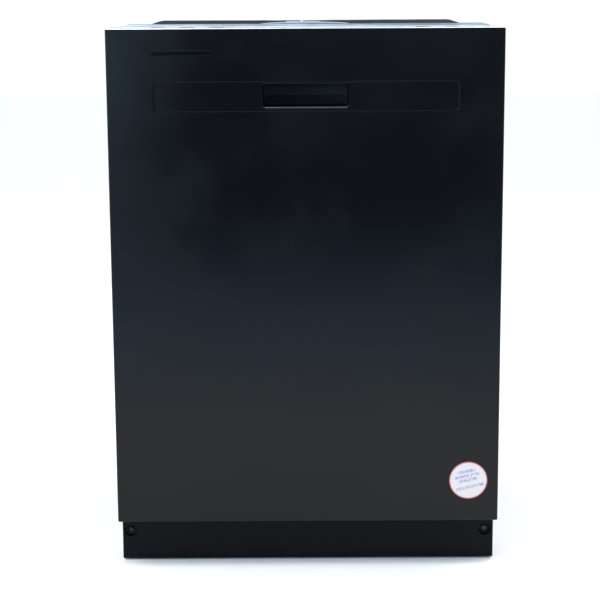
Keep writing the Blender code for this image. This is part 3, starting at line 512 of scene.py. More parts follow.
def show(name, shape, slot, body, replaces=(), angle=40, thick=None, weighted=False):
    """Makes a piece from a bmesh, rides it on its body and hides the CAD nodes it stands for."""
    mesh = bpy.data.meshes.new(name)
    bmesh.ops.remove_doubles(shape, verts=shape.verts, dist=1e-7)
    shape.to_mesh(mesh)
    shape.free()
    mesh.shade_smooth()
    mesh.set_sharp_from_angle(angle=math.radians(angle))
    mesh.materials.append(FINISH[slot])
    obj = bpy.data.objects.new(name, mesh)
    bpy.context.scene.collection.objects.link(obj)
    if thick:
        solidify = obj.modifiers.new("sheet", "SOLIDIFY")
        solidify.thickness = thick
        solidify.offset = -1
        solidify.use_even_offset = True
    if weighted:
        obj.modifiers.new("flat_faces", "WEIGHTED_NORMAL").keep_sharp = True
    if replaces:
        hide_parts(*replaces)
    if body:
        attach(obj, body)
    return obj


def paint_faces(obj, names, choose):
    """Gives single faces one of the named finishes; the others keep the finish the piece was made with."""
    for name in names:
        obj.data.materials.append(FINISH[name])
    for face in obj.data.polygons:
        name = choose(face)
        face.material_index = names.index(name) + 1 if name in names else 0


def body_of(node):
    return NODES[node]["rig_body"]


def refine(node, slot, edge):
    """Keeps a CAD node, rounds its edges and gives it its finish."""
    obj = NODES[node]
    obj.data.materials.clear()
    obj.data.materials.append(FINISH[slot])
    weld = obj.modifiers.new("weld", "WELD")
    weld.merge_threshold = 0.00001
    if edge:
        flat = obj.modifiers.new("flat_faces", "DECIMATE")
        flat.decimate_type = "DISSOLVE"
        flat.angle_limit = math.radians(0.5)
        bevel = obj.modifiers.new("soft_edges", "BEVEL")
        bevel.width = edge
        bevel.segments = 2
        bevel.limit_method = "ANGLE"
        bevel.angle_limit = math.radians(35)
        bevel.use_clamp_overlap = True
        bevel.harden_normals = True


# ---------------------------------------------------------------- the door's face
def pressed(shape, x, z, corner, steps, start, depth, width):
    """Rounded step from one depth to another, like a press tool leaves. Returns its first and last loops."""
    loops = []
    for i in range(steps + 1):
        share = i / steps
        eased = share * share * (3 - 2 * share)
        inset = width * (share - 0.5)
        outline = rounded(grow(x, -inset), grow(z, -inset), corner - inset)
        loops.append(lift(outline, "Y", at(start + (depth - start) * eased)))
    made = rings(shape, loops)
    return made[0], made[-1]


def rolled(x, z, corner, face, roll, steps):
    """Loops round a rolled edge, from a panel's side to its face."""
    loops = []
    for i in range(steps + 1):
        turn = math.radians(90 * i / steps)
        inset, depth = roll * (1 - math.cos(turn)), face + roll * (1 - math.sin(turn))
        loops.append(lift(rounded(grow(x, -inset), grow(z, -inset), corner - inset * 0.99), "Y", at(depth)))
    return loops


def make_door_skin():
    """Folded enamelled sheet with rolled edges, the pressed band, and holes for the pocket and the strip."""
    shape = bmesh.new()
    x, _, z = extents("door_outer_panel")
    roll, corner, return_depth, top_return = 0.0024, 0.0026, DOOR[1].y - FRONT, 0.0064
    sides = [lift(rounded(x, z, corner), "Y", at(d)) for d in (return_depth, top_return)]
    made = rings(shape, sides + rolled(x, z, corner, 0, roll, 5))
    band_x, band_z = (-BAND_HALF, BAND_HALF), (BAND_LOW, BAND_TOP)
    band = pressed(shape, band_x, band_z, PRESSED_CORNER, 8, 0, BAND_DEPTH, BAND_STEP)
    strip = pressed(shape, STRIP_X, STRIP_Z, 0.0016, 3, 0, 0.0006, 0.0006)
    pocket_x, pocket_z = (-POCKET_HALF, POCKET_HALF), (POCKET_LOW, POCKET_TOP)
    pocket = pressed(shape, pocket_x, pocket_z, PRESSED_CORNER, 3, BAND_DEPTH, BAND_DEPTH + 0.0006, 0.0006)
    fill(shape, made[-1], band[0], strip[0])
    fill(shape, band[1], pocket[0])
    back = [f for f in shape.faces if f.calc_center_median().y > at(top_return + 0.001)]
    inner = DOOR[1].x - 0.004
    bmesh.ops.delete(shape, geom=[f for f in back if abs(f.calc_center_median().x) < inner], context="FACES")
    face_side(shape, lambda f: f.calc_area(), -1)
    skin = show("door_skin", shape, "black_enamel", "door", ["door_outer_panel"], thick=SHEET, weighted=True)

    # Painted light on the sheet's faces: the bright metal on the top roll is a painted highlight, as is the
    # lip finish on the strip's top edge. The matte copies of the enamel on the step faces that look up and on
    # the pocket's step sides are painted shade.
    def painted_edge_light_and_shade(face):
        place, normal, narrow = face.center, face.normal, face.area < 0.0005
        if place.z > DOOR[1].z - roll and normal.z > 0.2:
            return "bright_edge"
        if abs(place.z - BAND_LOW) < BAND_STEP and normal.z > 0.1 and narrow:
            return "dull_edge"
        if place.y > at(BAND_DEPTH) and abs(normal.x) > 0.1 and abs(place.x) < BAND_HALF / 2:
            return "dull_edge"
        if abs(place.z - STRIP_Z[0]) < 0.002 and normal.z > 0.1 and narrow:
            return "dull_edge"
        if abs(place.z - STRIP_Z[1]) < 0.002 and normal.z < -0.1 and narrow:
            return "pocket_lip"
        return "black_enamel"

    paint_faces(skin, ("bright_edge", "dull_edge", "pocket_lip"), painted_edge_light_and_shade)


def make_handle_scoop():
    """Moulded pocket with a rolled rim. Behind the rim it opens upwards for the fingertips."""
    shape = bmesh.new()
    gap, rim = 0.0003, 0.0003
    half, low, top = POCKET_HALF - gap, POCKET_LOW + gap, POCKET_TOP - gap
    face = BAND_DEPTH - 0.0006

    def ring(inset, depth, extra_top=0.0, sill=0.0):
        heights = (low + inset + sill, top - inset + extra_top)
        return lift(rounded((-half + inset, half - inset), heights, 0.0056 - inset * 0.4), "Y", at(depth))

    loops = [ring(0, BAND_DEPTH + 0.0025), ring(0, face + 0.0004), ring(0.0001, face + 0.0001)]
    for i in range(7):
        turn = math.radians(90 * i / 6)
        roll = math.sin(turn)
        loops.append(ring(rim + 0.0011 * roll, face + 0.0018 * (1 - math.cos(turn)), sill=0.0016 * roll))
    inset, sill = rim + 0.0011, 0.0016
    loops += [ring(inset + 0.0001, 0.0070, sill=sill), ring(inset + 0.0001, 0.0078, sill=sill)]
    loops += [ring(inset + 0.0001, 0.0084, 0.0120, sill), ring(inset + 0.0001, 0.0095, 0.0165, sill)]
    loops += [ring(inset + 0.0004, 0.0200, 0.0165, sill), ring(inset + 0.0008, 0.0270, 0.0160, sill)]
    loops += [ring(inset + 0.0020, 0.0286, 0.0150, sill), ring(inset + 0.0045, 0.0292, 0.0130, sill)]
    made = rings(shape, loops)
    shape.faces.new(made[-1])
    middle = (low + top) / 2
    for z in [middle + 0.0015 * i for i in range(-6, 18)]:
        rear = [f for f in shape.faces if f.calc_center_median().y > at(0.0290)]
        edges = {e for f in rear for e in f.edges}
        verts = {v for f in rear for v in f.verts}
        geom = [*rear, *edges, *verts]
        bmesh.ops.bisect_plane(shape, geom=geom, plane_co=(0, 0, z), plane_no=(0, 0, 1), dist=1e-6)
    for vert in shape.verts:
        share = max(0.0, vert.co.z - middle) * max(0.0, (vert.co.y - at(0.020)) / 0.009)
        vert.co.y += share * math.tan(math.radians(7))
    face_side(shape, lambda f: -f.calc_center_median().y, -1)
    scoop = show("handle_scoop", shape, "gloss_black", "door", ["handle_pocket"], thick=0.0012)

    # Painted light in the pocket: the darker copies of the gloss black on its deep inside and side faces are
    # painted shade, the lighter copy on the upper back wall and over the opening is painted light, and the
    # bright metal on the bottom lip is a painted highlight.
    def painted_pocket_light_and_shade(face):
        place, normal = face.center, face.normal
        if place.y > at(0.0280) and place.z > middle:
            return "pocket_back"
        if place.y > at(0.0055) or abs(normal.x) > 0.12:
            return "pocket_black"
        if place.z < middle and normal.z > 0.38:
            return "pocket_lip"
        if place.z > middle and normal.z < -0.2:
            return "pocket_back"
        return "gloss_black"

    paint_faces(scoop, ("pocket_black", "pocket_back", "pocket_lip"), painted_pocket_light_and_shade)


def make_status_lens():
    """Thin dark lens in the strip's slot, a little crowned."""
    x, z = grow(STRIP_X, -0.0005), grow(STRIP_Z, -0.0005)
    levels = [(0.0030, 0.0), (0.0010, 0.0), (0.0007, 0.0001), (0.0006, 0.0003), (0.00055, 0.0009)]
    levels = [(at(d), rounded(grow(x, -i), grow(z, -i), 0.0020 - i * 0.9)) for d, i in levels]
    lens = show("status_lens", solid("Y", levels), "gloss_black", "door", ["status_window"], angle=60)
    lens.data.materials[0] = FINISH["lens_black"]


def make_sticker():
    """Round paper label with a slightly turned-down edge."""
    x, (front, back), z = extents("round_label")
    centre, radius = (sum(x) / 2, sum(z) / 2), (x[1] - x[0]) / 2
    profile = [(back, radius - 0.0001), (back - 0.0001, radius), (front + 0.00012, radius - 0.0001)]
    profile += [(front + 0.00003, radius - 0.0006), (front, radius - 0.002)]
    show("round_sticker", turned("Y", centre, profile, 96), "label", "door", ["round_label"], angle=60)


def make_toe_skin():
    """Painted kick panel: a folded sheet with a dished seat for each screw."""
    shape = bmesh.new()
    x, y, z = extents("toe_panel")
    face, back, corner, roll = y[0] - FRONT, 0.072, 0.0015, 0.0012
    side = lift(rounded(x, z, corner), "Y", at(back))
    outer = rings(shape, [side, *rolled(x, z, corner, face, roll, 4)])
    holes = []
    for side in SIDES.values():
        dish = [(0.0106, 0.0), (0.0102, 0.0002), (0.0099, 0.0007), (0.0096, 0.0055), (0.0092, 0.0062)]
        dish += [(0.0086, 0.0064), (0.0024, 0.0064)]
        loops = [
            lift(arc((TOE_SCREW_X * side, TOE_SCREW_Z), r, 0, 348.75, 31), "Y", at(face + d)) for r, d in dish
        ]
        holes.append(rings(shape, loops)[0])
    fill(shape, outer[-1], *holes)
    face_side(shape, lambda f: f.calc_area() * (f.calc_center_median().y < at(face + 0.0001)), -1)
    show("toe_skin", shape, "toe_enamel", "cabinet", ["toe_panel"], thick=SHEET * 0.9, weighted=True)


# ---------------------------------------------------------------- racks and their fittings
RACK_DEPTHS = (0.090, 0.540)
WIRE = 0.0018
RIM_WIRE = 0.0024
RACK_WHEELS = {"front": 0.168, "rear": 0.470}
ARM_DEPTH = 0.325
WHEEL_Z = sum(extents("rack_wheel_front_left")[2]) / 2


def frame_loop(half, z, inset):
    """Rounded rectangle of wire, flat at a height."""
    depths = (at(RACK_DEPTHS[0] + inset), at(RACK_DEPTHS[1] - inset))
    return lift(rounded((-half + inset, half - inset), depths, 0.030, 6), "Z", z)


def spread(low, high, count):
    """The middles of equal parts of a span."""
    return [low + (high - low) * (i + 0.5) / count for i in range(count)]


def basket_wires(shape, half, floor, rim, across, deep):
    """Rim, belt and floor loops, with U-shaped wires down one wall, along the floor and up the other."""
    half -= 0.002
    low = floor + 0.001
    loops = ((rim - 0.0012, RIM_WIRE, 0.0), ((rim + floor) / 2, WIRE, 0.001), (low + 0.0025, WIRE, 0.004))
    for z, radius, inset in loops:
        swept(shape, frame_loop(half, z, inset), radius, closed=True)
    front, back = RACK_DEPTHS[0] + 0.004, RACK_DEPTHS[1] - 0.004
    for x in spread(-half + 0.028, half - 0.028, across):
        route = [(x, front, rim), (x, front, low), (x, back, low), (x, back, rim)]
        swept(shape, bend(behind(route), 0.016), WIRE)
    side = half - 0.004
    for depth in spread(front + 0.026, back - 0.026, deep):
        bottom = low + 0.0034
        route = [(-side, depth, rim), (-side, depth, bottom), (side, depth, bottom), (side, depth, rim)]
        swept(shape, bend(behind(route), 0.016), WIRE)


def pins(shape, xs, depth, foot, top):
    """A row of upright prongs with domed ends on a cross wire."""
    swept(shape, behind([(xs[0] - 0.006, depth, foot), (xs[-1] + 0.006, depth, foot)]), WIRE)
    for x in xs:
        route = behind([(x, depth, foot), (x, depth, top)])
        swept(shape, route, WIRE)
        tip = Matrix.Translation(route[-1])
        bmesh.ops.create_icosphere(shape, subdivisions=2, radius=WIRE * 1.25, matrix=tip)


def make_upper_rack():
    half, floor, rim = 0.253, 0.480, 0.630
    shape = bmesh.new()
    basket_wires(shape, half, floor, rim, 13, 11)
    foot, ridge = floor + 0.006, floor + 0.052
    for row in (-0.165, -0.055, 0.055, 0.165):
        swept(shape, behind([(row, 0.105, ridge), (row, 0.525, ridge)]), WIRE)
        for depth in spread(0.110, 0.520, 7):
            route = [(row, depth - 0.022, foot), (row, depth, ridge), (row, depth + 0.022, foot)]
            swept(shape, bend(behind(route), 0.008), WIRE * 0.9, 8)
    show("upper_rack_wires", shape, "rack_coating", "upper_rack_body", ["upper_rack"], angle=50)
    for name, side in SIDES.items():
        x = mirror_x((0.2520, 0.2770), side)
        runner = soft_block(x, (at(0.0950), at(0.5380)), (0.5700, 0.5800), 0.0018, axis="Y")
        show("upper_rack_runner_" + name, runner, "rack_coating", "upper_rack_body")


def make_lower_rack():
    half, floor, rim = 0.240, 0.182, 0.325
    shape = bmesh.new()
    basket_wires(shape, half, floor, rim, 13, 11)
    xs = [-0.1875 + 0.025 * i for i in range(16)]
    foot = floor + 0.0036
    for depth, top in ((0.250, 0.262), (0.300, 0.262), (0.440, 0.270), (0.490, 0.270)):
        pins(shape, xs, depth, foot, top)
    for side in SIDES.values():
        for depth in RACK_WHEELS.values():
            x, near, far = 0.2412 * side, depth - 0.005, depth + 0.005
            hanger = [(x, near, 0.252), (x, near, 0.160), (x, far, 0.160), (x, far, 0.252)]
            swept(shape, bend(behind(hanger), 0.0035), WIRE)
            stub, head, end = [(x * side, depth, WHEEL_Z) for x in (0.2405, 0.2572, 0.2590)]
            swept(shape, behind([stub, end]), 0.0029, 16)
            swept(shape, behind([head, end]), 0.0050, 20)
    show("lower_rack_wires", shape, "rack_coating", "lower_rack_body", ["lower_rack"], angle=50)


def hoop(shape, axis, centre, profile):
    """Adds a ring with a closed profile of (place along the axis, radius)."""
    sides = 40
    last = 360 - 360 / sides
    loops = [lift(arc(centre, radius, 0, last, sides - 1), axis, place) for place, radius in profile]
    rings(shape, loops + loops[:1])


def make_rack_wheel(name):
    """Moulded roller with a rounded tread, a dished web with spokes, and a hub."""
    (a, b), y, z = extents(name)
    centre = (sum(y) / 2, sum(z) / 2)
    radius = (z[1] - z[0]) / 2
    shape = bmesh.new()
    tread = [(a + 0.0012, radius), (a + 0.0003, radius - 0.0004), (a, radius - 0.0012), (a, radius - 0.0032)]
    tread += [(b, radius - 0.0032), (b, radius - 0.0012), (b - 0.0003, radius - 0.0004), (b - 0.0012, radius)]
    hoop(shape, "X", centre, tread)
    left, right, rim = a + 0.0035, b - 0.0035, radius - 0.003
    hoop(shape, "X", centre, [(left, rim), (left, 0.006), (right, 0.006), (right, rim)])
    hub = [(a, 0.0068), (a, 0.0036), (b, 0.0036), (b, 0.0068), (b - 0.0004, 0.0072), (a + 0.0004, 0.0072)]
    hoop(shape, "X", centre, hub)
    for i in range(6):
        turn = Matrix.Rotation(math.radians(60 * i), 4, "X")
        spoke = turn @ Matrix.Translation((0, 0.0107, 0))
        move = Matrix.Translation(((a + b) / 2, *centre)) @ spoke
        size = Matrix.Diagonal(((b - a) * 0.86, 0.0080, 0.0016, 1))
        bmesh.ops.create_cube(shape, size=1, matrix=move @ size)
    outwards(shape)
    show(name + "_moulded", shape, "grey_plastic", body_of(name), [name], angle=35)


def make_tines():
    """Nine prongs on one bar, which fold down together."""
    depth, foot, top, half = 0.380, 0.190, 0.2865, 0.198
    shape = bmesh.new()
    xs = [-half + 2 * half * i / 8 for i in range(9)]
    pins(shape, xs, depth, foot, top)
    show("folding_prongs", shape, "rack_coating", "fold_down_tines_body", ["fold_down_tines"], angle=50)


def bars(shape, spans, edge=0.0004):
    """Adds bevelled bars, given as (x, y, z) spans."""
    for x, y, z in spans:
        middle = Vector(((x[0] + x[1]) / 2, (y[0] + y[1]) / 2, (z[0] + z[1]) / 2))
        size = Matrix.Diagonal((x[1] - x[0], y[1] - y[0], z[1] - z[0], 1))
        made = bmesh.ops.create_cube(shape, size=1, matrix=Matrix.Translation(middle) @ size)
        edges = {e for v in made["verts"] for e in v.link_edges}
        bmesh.ops.bevel(shape, geom=list(edges), offset=edge, segments=1, profile=0.5, affect="EDGES")


def make_silverware_basket():
    """Moulded basket with slotted walls and floor, four cells and a carrying handle."""
    half, front, back, low, high, wall, cells = 0.125, 0.096, 0.166, 0.1850, 0.3000, 0.0025, 4
    y, floor = (at(front), at(back)), (low, low + wall)
    rails = ((high - 0.012, high), (low, low + 0.014), (0.2390, 0.2450))
    slat = (low + 0.012, high - 0.010)
    spans = []
    for side in (y[0], y[1] - wall):
        across = (side, side + wall)
        spans += [((-half, half), across, rail) for rail in rails]
        xs = [-half + 0.002 + (2 * half - 0.004) * i / 32 for i in range(33)]
        spans += [((x - 0.0015, x + 0.0015), across, slat) for x in xs]
    for x in (-half, half - wall):
        across = (x, x + wall)
        spans += [(across, y, rail) for rail in rails]
        ys = [y[0] + (y[1] - y[0]) * i / 9 for i in range(1, 9)]
        spans += [(across, (v - 0.0015, v + 0.0015), slat) for v in ys]
    pitch = (2 * half - wall) / cells
    spans += [((x, x + wall), y, (low, high - 0.004)) for x in [-half + i * pitch for i in range(1, cells)]]
    spans += [((x, x + 0.003), y, floor) for x in [-half + 2 * half * i / 26 for i in range(26)]]
    spans += [((-half, half), (v, v + 0.003), floor) for v in [y[0] + 0.012 * i for i in range(6)]]
    shape = bmesh.new()
    bars(shape, spans)
    middle = (front + back) / 2
    handle = [(-0.0430, high - 0.020), (-0.0400, 0.3350), (0.0400, 0.3350), (0.0430, high - 0.020)]
    swept(shape, bend(behind([(x, middle, z) for x, z in handle]), 0.010), 0.0030, 12)
    show("cutlery_basket", shape, "grey_plastic", "silverware_basket_body", ["silverware_basket"], angle=35)


def make_flange_lip():
    """Folded top edge of the tub's front flange: a narrow ledge that looks up, then a short upright hem."""
    half, corner = 0.2780, 0.0130
    profile = [(0.0606, 0.8572), (0.0588, 0.8578), (0.0584, 0.8588), (0.0587, 0.8596), (0.0603, 0.8614)]
    profile += [(0.0609, 0.8619), (0.0610, 0.8629), (0.0613, 0.8633), (0.0620, 0.8634), (0.0630, 0.8634)]
    shape = bmesh.new()
    ends = [half, *[half * (1 - 2 * i / 24) for i in range(1, 24)], -half]
    loops = [[Vector((x, at(depth), z)) for depth, z in profile] for x in ends]
    for side, last in ((1, loops[0]), (-1, loops[-1])):
        fan = []
        for i in range(1, 7):
            turn = math.radians(90 * i / 6)
            x, drop = side * (half + corner * math.sin(turn)), corner * (1 - math.cos(turn))
            fan.append([Vector((x, p.y, p.z - drop)) for p in last])
        loops = list(reversed(fan)) + loops if side > 0 else loops + fan
    rings(shape, loops, closed=False)
    outwards(shape)
    lip = show("tub_flange_lip", shape, "stainless", "cabinet", thick=0.0006)
    # The lip gets the darker, bluish copy of the stainless: painted shade.
    lip.data.materials[0] = FINISH["painted_shade_flange_steel"]


# ---------------------------------------------------------------- water parts inside the tub
# Half length, half width, middle height, hub radius, nozzles on each side, and the way they point (Z).
SPRAY_ARMS = {
    "lower_spray_arm": (0.232, 0.024, 0.1650, 0.0300, 5, 1),
    "upper_spray_arm": (0.215, 0.020, 0.4395, 0.0200, 5, 1),
    "top_spray_arm": (0.100, 0.013, 0.7890, 0.0169, 3, -1),
}


def make_spray_arm(name, half_length, half_width, z, hub, nozzles, up):
    """Pebble-shaped arm with a domed hub and raised nozzles."""
    bottom, top = extents(name)[2]
    x, y = (-half_length, half_length), grow((at(ARM_DEPTH), at(ARM_DEPTH)), half_width)
    shape = soft_block(x, y, (z - 0.0055, z + 0.0055), 0.0052, corner=half_width * 0.96, steps=5)
    profile = [(bottom + 0.0002, hub - 0.001), (bottom + 0.0010, hub), (top - 0.0030, hub)]
    profile += [(top - 0.0010, hub - 0.0012), (top, hub - 0.0040)]
    merge(shape, turned("Z", (0, at(ARM_DEPTH)), profile, 40))
    steps = [(0.0050, 0.0042), (0.0062, 0.0036), (0.0068, 0.0030), (0.0068, 0.0016), (0.0056, 0.0013)]
    cone = [(z + up * rise, radius) for rise, radius in steps]
    if up < 0:
        cone.sort()
    for i in range(nozzles):
        for side in (-1, 1):
            reach = half_length * (0.30 + 0.62 * i / (nozzles - 1)) * side
            offset = half_width * 0.35 * (1 if (i + (side > 0)) % 2 else -1)
            merge(shape, turned("Z", (reach, at(ARM_DEPTH) + offset), cone, 16))
    show(name + "_moulded", shape, "grey_plastic", body_of(name), [name], angle=35)


def merge(shape, other):
    """Adds another bmesh to this one."""
    mesh = bpy.data.meshes.new("part")
    other.to_mesh(mesh)
    other.free()
    shape.from_mesh(mesh)
    bpy.data.meshes.remove(mesh)


def resample(route, step):
    """The same route with evenly spaced points."""
    points = [route[0]]
    left = step
    for a, b in zip(route, route[1:]):
        length = (b - a).length
        while length > left:
            points.append(a + (b - a) * (left / length))
            a, length, left = points[-1], length - left, step
        left -= length
    points.append(route[-1])
    return points


def pipe(name, node, slot, body, points, corner, radius, sides, steps=10):
    """A tube along a route with rounded corners, in place of a CAD node."""
    shape = bmesh.new()
    swept(shape, bend(behind(points), corner, steps), radius, sides)
    show(name, shape, slot, body, [node])


def make_pipes():
    """Feed tube, rack manifold, heating element and corrugated drain hose along their CAD routes."""
    feed = [(0, 0.500, 0.120), (0, 0.500, 0.150), (0, 0.578, 0.150), (0, 0.578, 0.828)]
    feed += [(0, ARM_DEPTH, 0.828), (0, ARM_DEPTH, 0.798)]
    pipe("feed_pipe", "feed_tube", "grey_plastic", "cabinet", feed, 0.018, 0.008, 24)
    manifold = [(0, 0.569, 0.468), (0, ARM_DEPTH, 0.468), (0, ARM_DEPTH, 0.448)]
    pipe("manifold_pipe", "rack_manifold", "grey_plastic", "upper_rack_body", manifold, 0.010, 0.007, 24)
    half, front, back, z, end = 0.190, 0.145, 0.470, 0.133, 0.030
    loop = [(-end, front, 0.098), (-end, front, z), (-half, front, z), (-half, back, z)]
    loop += [(half, back, z), (half, front, z), (end, front, z), (end, front, 0.098)]
    pipe("heater_loop", "heating_element", "spring_steel", "cabinet", loop, 0.012, 0.004, 16, 8)
    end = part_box("drain_hose")[1].y - FRONT
    hose = [(0.086, 0.4604), (0.086, 0.495), (0.150, 0.515), (0.150, end)]
    route = resample(bend(behind([(x, depth, 0.075) for x, depth in hose]), 0.014, 8), 0.0011)
    shape = bmesh.new()
    swept(shape, route, lambda share: 0.0092 - 0.0007 * (1 - math.cos(share * 240)), 20)
    show("ribbed_drain_hose", shape, "matte_black", "cabinet", ["drain_hose"], angle=60)


# ---------------------------------------------------------------- door balance
def make_balance(name, side):
    """The coiled spring behind the link, the cable from the hinge cam, and the link's rod."""
    x, z, front, back, turns = 0.2945 * side, 0.155, 0.2060, 0.4500, 64
    body = f"spring_link_{name}_body"
    steps = turns * 10
    route = []
    for i in range(steps + 1):
        turn = 2 * math.pi * i / 10
        depth = front + 0.006 + (back - front - 0.012) * i / steps
        route.append((x + 0.0052 * math.cos(turn), depth, z + 0.0052 * math.sin(turn)))
    hook_in = [(x, front - 0.003, z), (x, front + 0.002, z), (x + 0.003, front + 0.004, z)]
    hook_out = [(x + 0.003, back - 0.004, z), (x, back - 0.002, z), (x, back, z)]
    shape = bmesh.new()
    swept(shape, behind(hook_in + route + hook_out), 0.0009, 6)
    spring = show("balance_spring_" + name, shape, "spring_steel", None, ["door_spring_" + name], angle=60)
    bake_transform(spring)
    shape = bmesh.new()
    swept(shape, behind([(x, 0.040 + 0.0055 * i, z - 0.0010) for i in range(11)]), 0.0010, 8)
    cable = show("balance_cable_" + name, shape, "spring_steel", None, angle=60)
    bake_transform(cable)
    profile = [(0.0945, 0.0016), (0.0950, 0.0019), (0.2010, 0.0019), (0.2010, 0.0046)]
    profile += [(0.2014, 0.0050), (0.2041, 0.0050), (0.2045, 0.0046)]
    rod = turned_back((x, z), profile, 24)
    show("balance_rod_" + name, rod, "spring_steel", body, ["spring_link_" + name])


# ---------------------------------------------------------------- door fittings
# Each button's place across the door, and its sign's strokes as (x, y, length in units of 0.4 mm).
BUTTONS = {
    "cycle": (-0.225, [(-0.0030, -0.0018, 3), (0.0, -0.0018, 5), (0.0030, -0.0018, 7)]),
    "options": (-0.180, [(-0.0030, 0.0012, 4), (0.0, 0.0012, 4), (0.0030, 0.0012, 4)]),
    "delay": (-0.135, [(0.0, 0.0, 6)]),
    "cancel": (0.180, [(-0.0012, -0.0018, 6), (0.0012, -0.0018, 6)]),
    "start": (0.225, [(0.0, 0.0, 4)]),
}
BUTTON_DEPTH = 0.030


def make_button(name, x, sign):
    """Keycap with soft edges and a small printed sign that isn't a letter."""
    node, y = name + "_button", at(BUTTON_DEPTH)
    spans = extents(node)
    cap = soft_block(*spans, 0.0006, corner=0.0017)
    show(node + "_cap", cap, "gloss_black", body_of(node), [node])
    shape = bmesh.new()
    top = spans[2][1]
    ink = (top - 0.0002, top + 0.00004)
    for dx, dy, n in sign:
        across, along = (x + dx, x + dx), (y + dy, y + dy)
        bars(shape, [(grow(across, 0.0005), grow(along, 0.0002 * n), ink)], 0.00001)
    show(node + "_sign", shape, "label", body_of(node))


def make_inner_panel():
    """Pressed stainless pan of the door, with the deep drawn recess and the openings in it."""
    face, floor, edge = 0.0555, 0.0352, 0.0300
    shape = bmesh.new()
    outline = [(-0.2920, 0.8520), (-0.2875, 0.8565), (0.2875, 0.8565), (0.2920, 0.8520)]
    outline += [(0.2920, 0.1500), (0.2835, 0.1500), (0.2835, 0.1190), (0.2795, 0.1150)]
    outline += [(-0.2795, 0.1150), (-0.2835, 0.1190), (-0.2835, 0.1500), (-0.2920, 0.1500)]
    rim = rings(shape, [lift(outline, "Y", at(edge)), lift(outline, "Y", at(face - 0.0020))])
    inset = [(x - math.copysign(0.0020, x), z - math.copysign(0.0020, z - 0.5)) for x, z in outline]
    rim += rings(shape, [lift(outline, "Y", at(face - 0.0020)), lift(inset, "Y", at(face))])
    recess = pressed(shape, (-0.2380, 0.2380), (0.1912, 0.7888), 0.0240, 8, face, floor, 0.0090)
    latch = pressed(shape, (-0.0165, 0.0165), (0.8285, 0.8440), 0.0016, 3, face, face - 0.0012, 0.0012)
    inside = (0.0205, 0.1795), (0.4155, 0.5645)
    seat = pressed(shape, *inside, 0.0030, 3, floor, floor - 0.0030, 0.0010)
    fill(shape, rim[-1], recess[0], latch[0])
    fill(shape, recess[1], seat[0])
    bmesh.ops.remove_doubles(shape, verts=shape.verts, dist=1e-6)
    face_side(shape, lambda f: f.calc_area(), 1)
    replaced = ["door_inner_panel"]
    show("inner_door_pan", shape, "stainless", "door", replaced, 50, 0.0008, weighted=True)


def make_dispenser_lid():
    """Sliding lid with a finger rib."""
    x, y, z = extents("dispenser_lid")
    shape = soft_block(x, y, z, 0.0008, corner=0.003, axis="Y")
    for i in range(3):
        rib = 0.1560 + 0.0050 * i
        proud = (y[1] - 0.0004, y[1] + 0.0010)
        merge(shape, soft_block((rib, rib + 0.0018), proud, (0.4440, 0.4760), 0.0006))
    show("sliding_lid", shape, "grey_plastic", "dispenser_lid_body", ["dispenser_lid"])


def make_rinse_cap():
    """Round cap with a grip bar and a knurled rim."""
    centre, steps = (0.145, 0.530), 96
    levels = []
    profile = [(0.0410, 0.0118, 0), (0.0503, 0.0118, 0), (0.0503, 0.0187, 1), (0.0532, 0.0184, 1)]
    profile += [(0.0540, 0.0176, 0), (0.0540, 0.0170, 0), (0.0534, 0.0162, 0), (0.0534, 0.0050, 0)]
    for depth, radius, knurl in profile:
        loop = []
        for i in range(steps):
            turn = 2 * math.pi * i / steps
            r = radius - 0.0004 * knurl * (i % 4 > 1)
            loop.append((centre[0] + r * math.cos(turn), centre[1] + r * math.sin(turn)))
        levels.append((at(depth), loop))
    shape = solid("Y", levels)
    x, z = grow((centre[0], centre[0]), 0.014), grow((centre[1], centre[1]), 0.0022)
    merge(shape, soft_block(x, (at(0.0530), at(0.0575)), z, 0.0008, corner=0.002, axis="Y"))
    show("rinse_cap", shape, "grey_plastic", "rinse_aid_cap_body", ["rinse_aid_cap"], angle=30)


# ---------------------------------------------------------------- outer casing
BACK_STITCHES = 0.118  # pitch of the quilted squares on the back
WRAP_STITCHES = 0.124  # pitch of the rows of stitches round the wrap


def quilted_back(x, z, face):
    """Felt pad on the back, stitched in squares, whose highest points stay just inside a depth."""
    shape = bmesh.new()
    columns, rows, pitch = 60, 72, BACK_STITCHES
    loops = []
    for j in range(rows + 1):
        loop = []
        for i in range(columns + 1):
            px = x[0] + (x[1] - x[0]) * i / columns
            pz = z[0] + (z[1] - z[0]) * j / rows
            stitch = min(abs((px - x[0]) % pitch - pitch / 2), abs((pz - z[0]) % pitch - pitch / 2))
            rim = min(i, columns - i, j, rows - j)
            sink = 0.0012 * math.exp(-((stitch / 0.007) ** 2)) + 0.0012 * math.exp(-rim)
            lumps = 0.0003 * (1 + noise.noise(Vector((px, 0, pz)) * 26))
            loop.append(Vector((px, face - 0.0001 - min(0.0024, sink + lumps), pz)))
        loops.append(loop)
    rings(shape, loops, closed=False)
    return shape


def wrap_outline(half, foot, top, corner):
    """Outline of the wrap from its right foot over the top to its left foot."""
    rise = top - corner - foot
    right = [(half, foot + rise * i / 34) for i in range(34)]
    right += arc((half - corner, top - corner), corner, 0, 90, 8)
    across = [((half - corner) * (1 - 2 * i / 40), top) for i in range(1, 40)]
    return [*right, *across, *[(-x, z) for x, z in reversed(right)]]


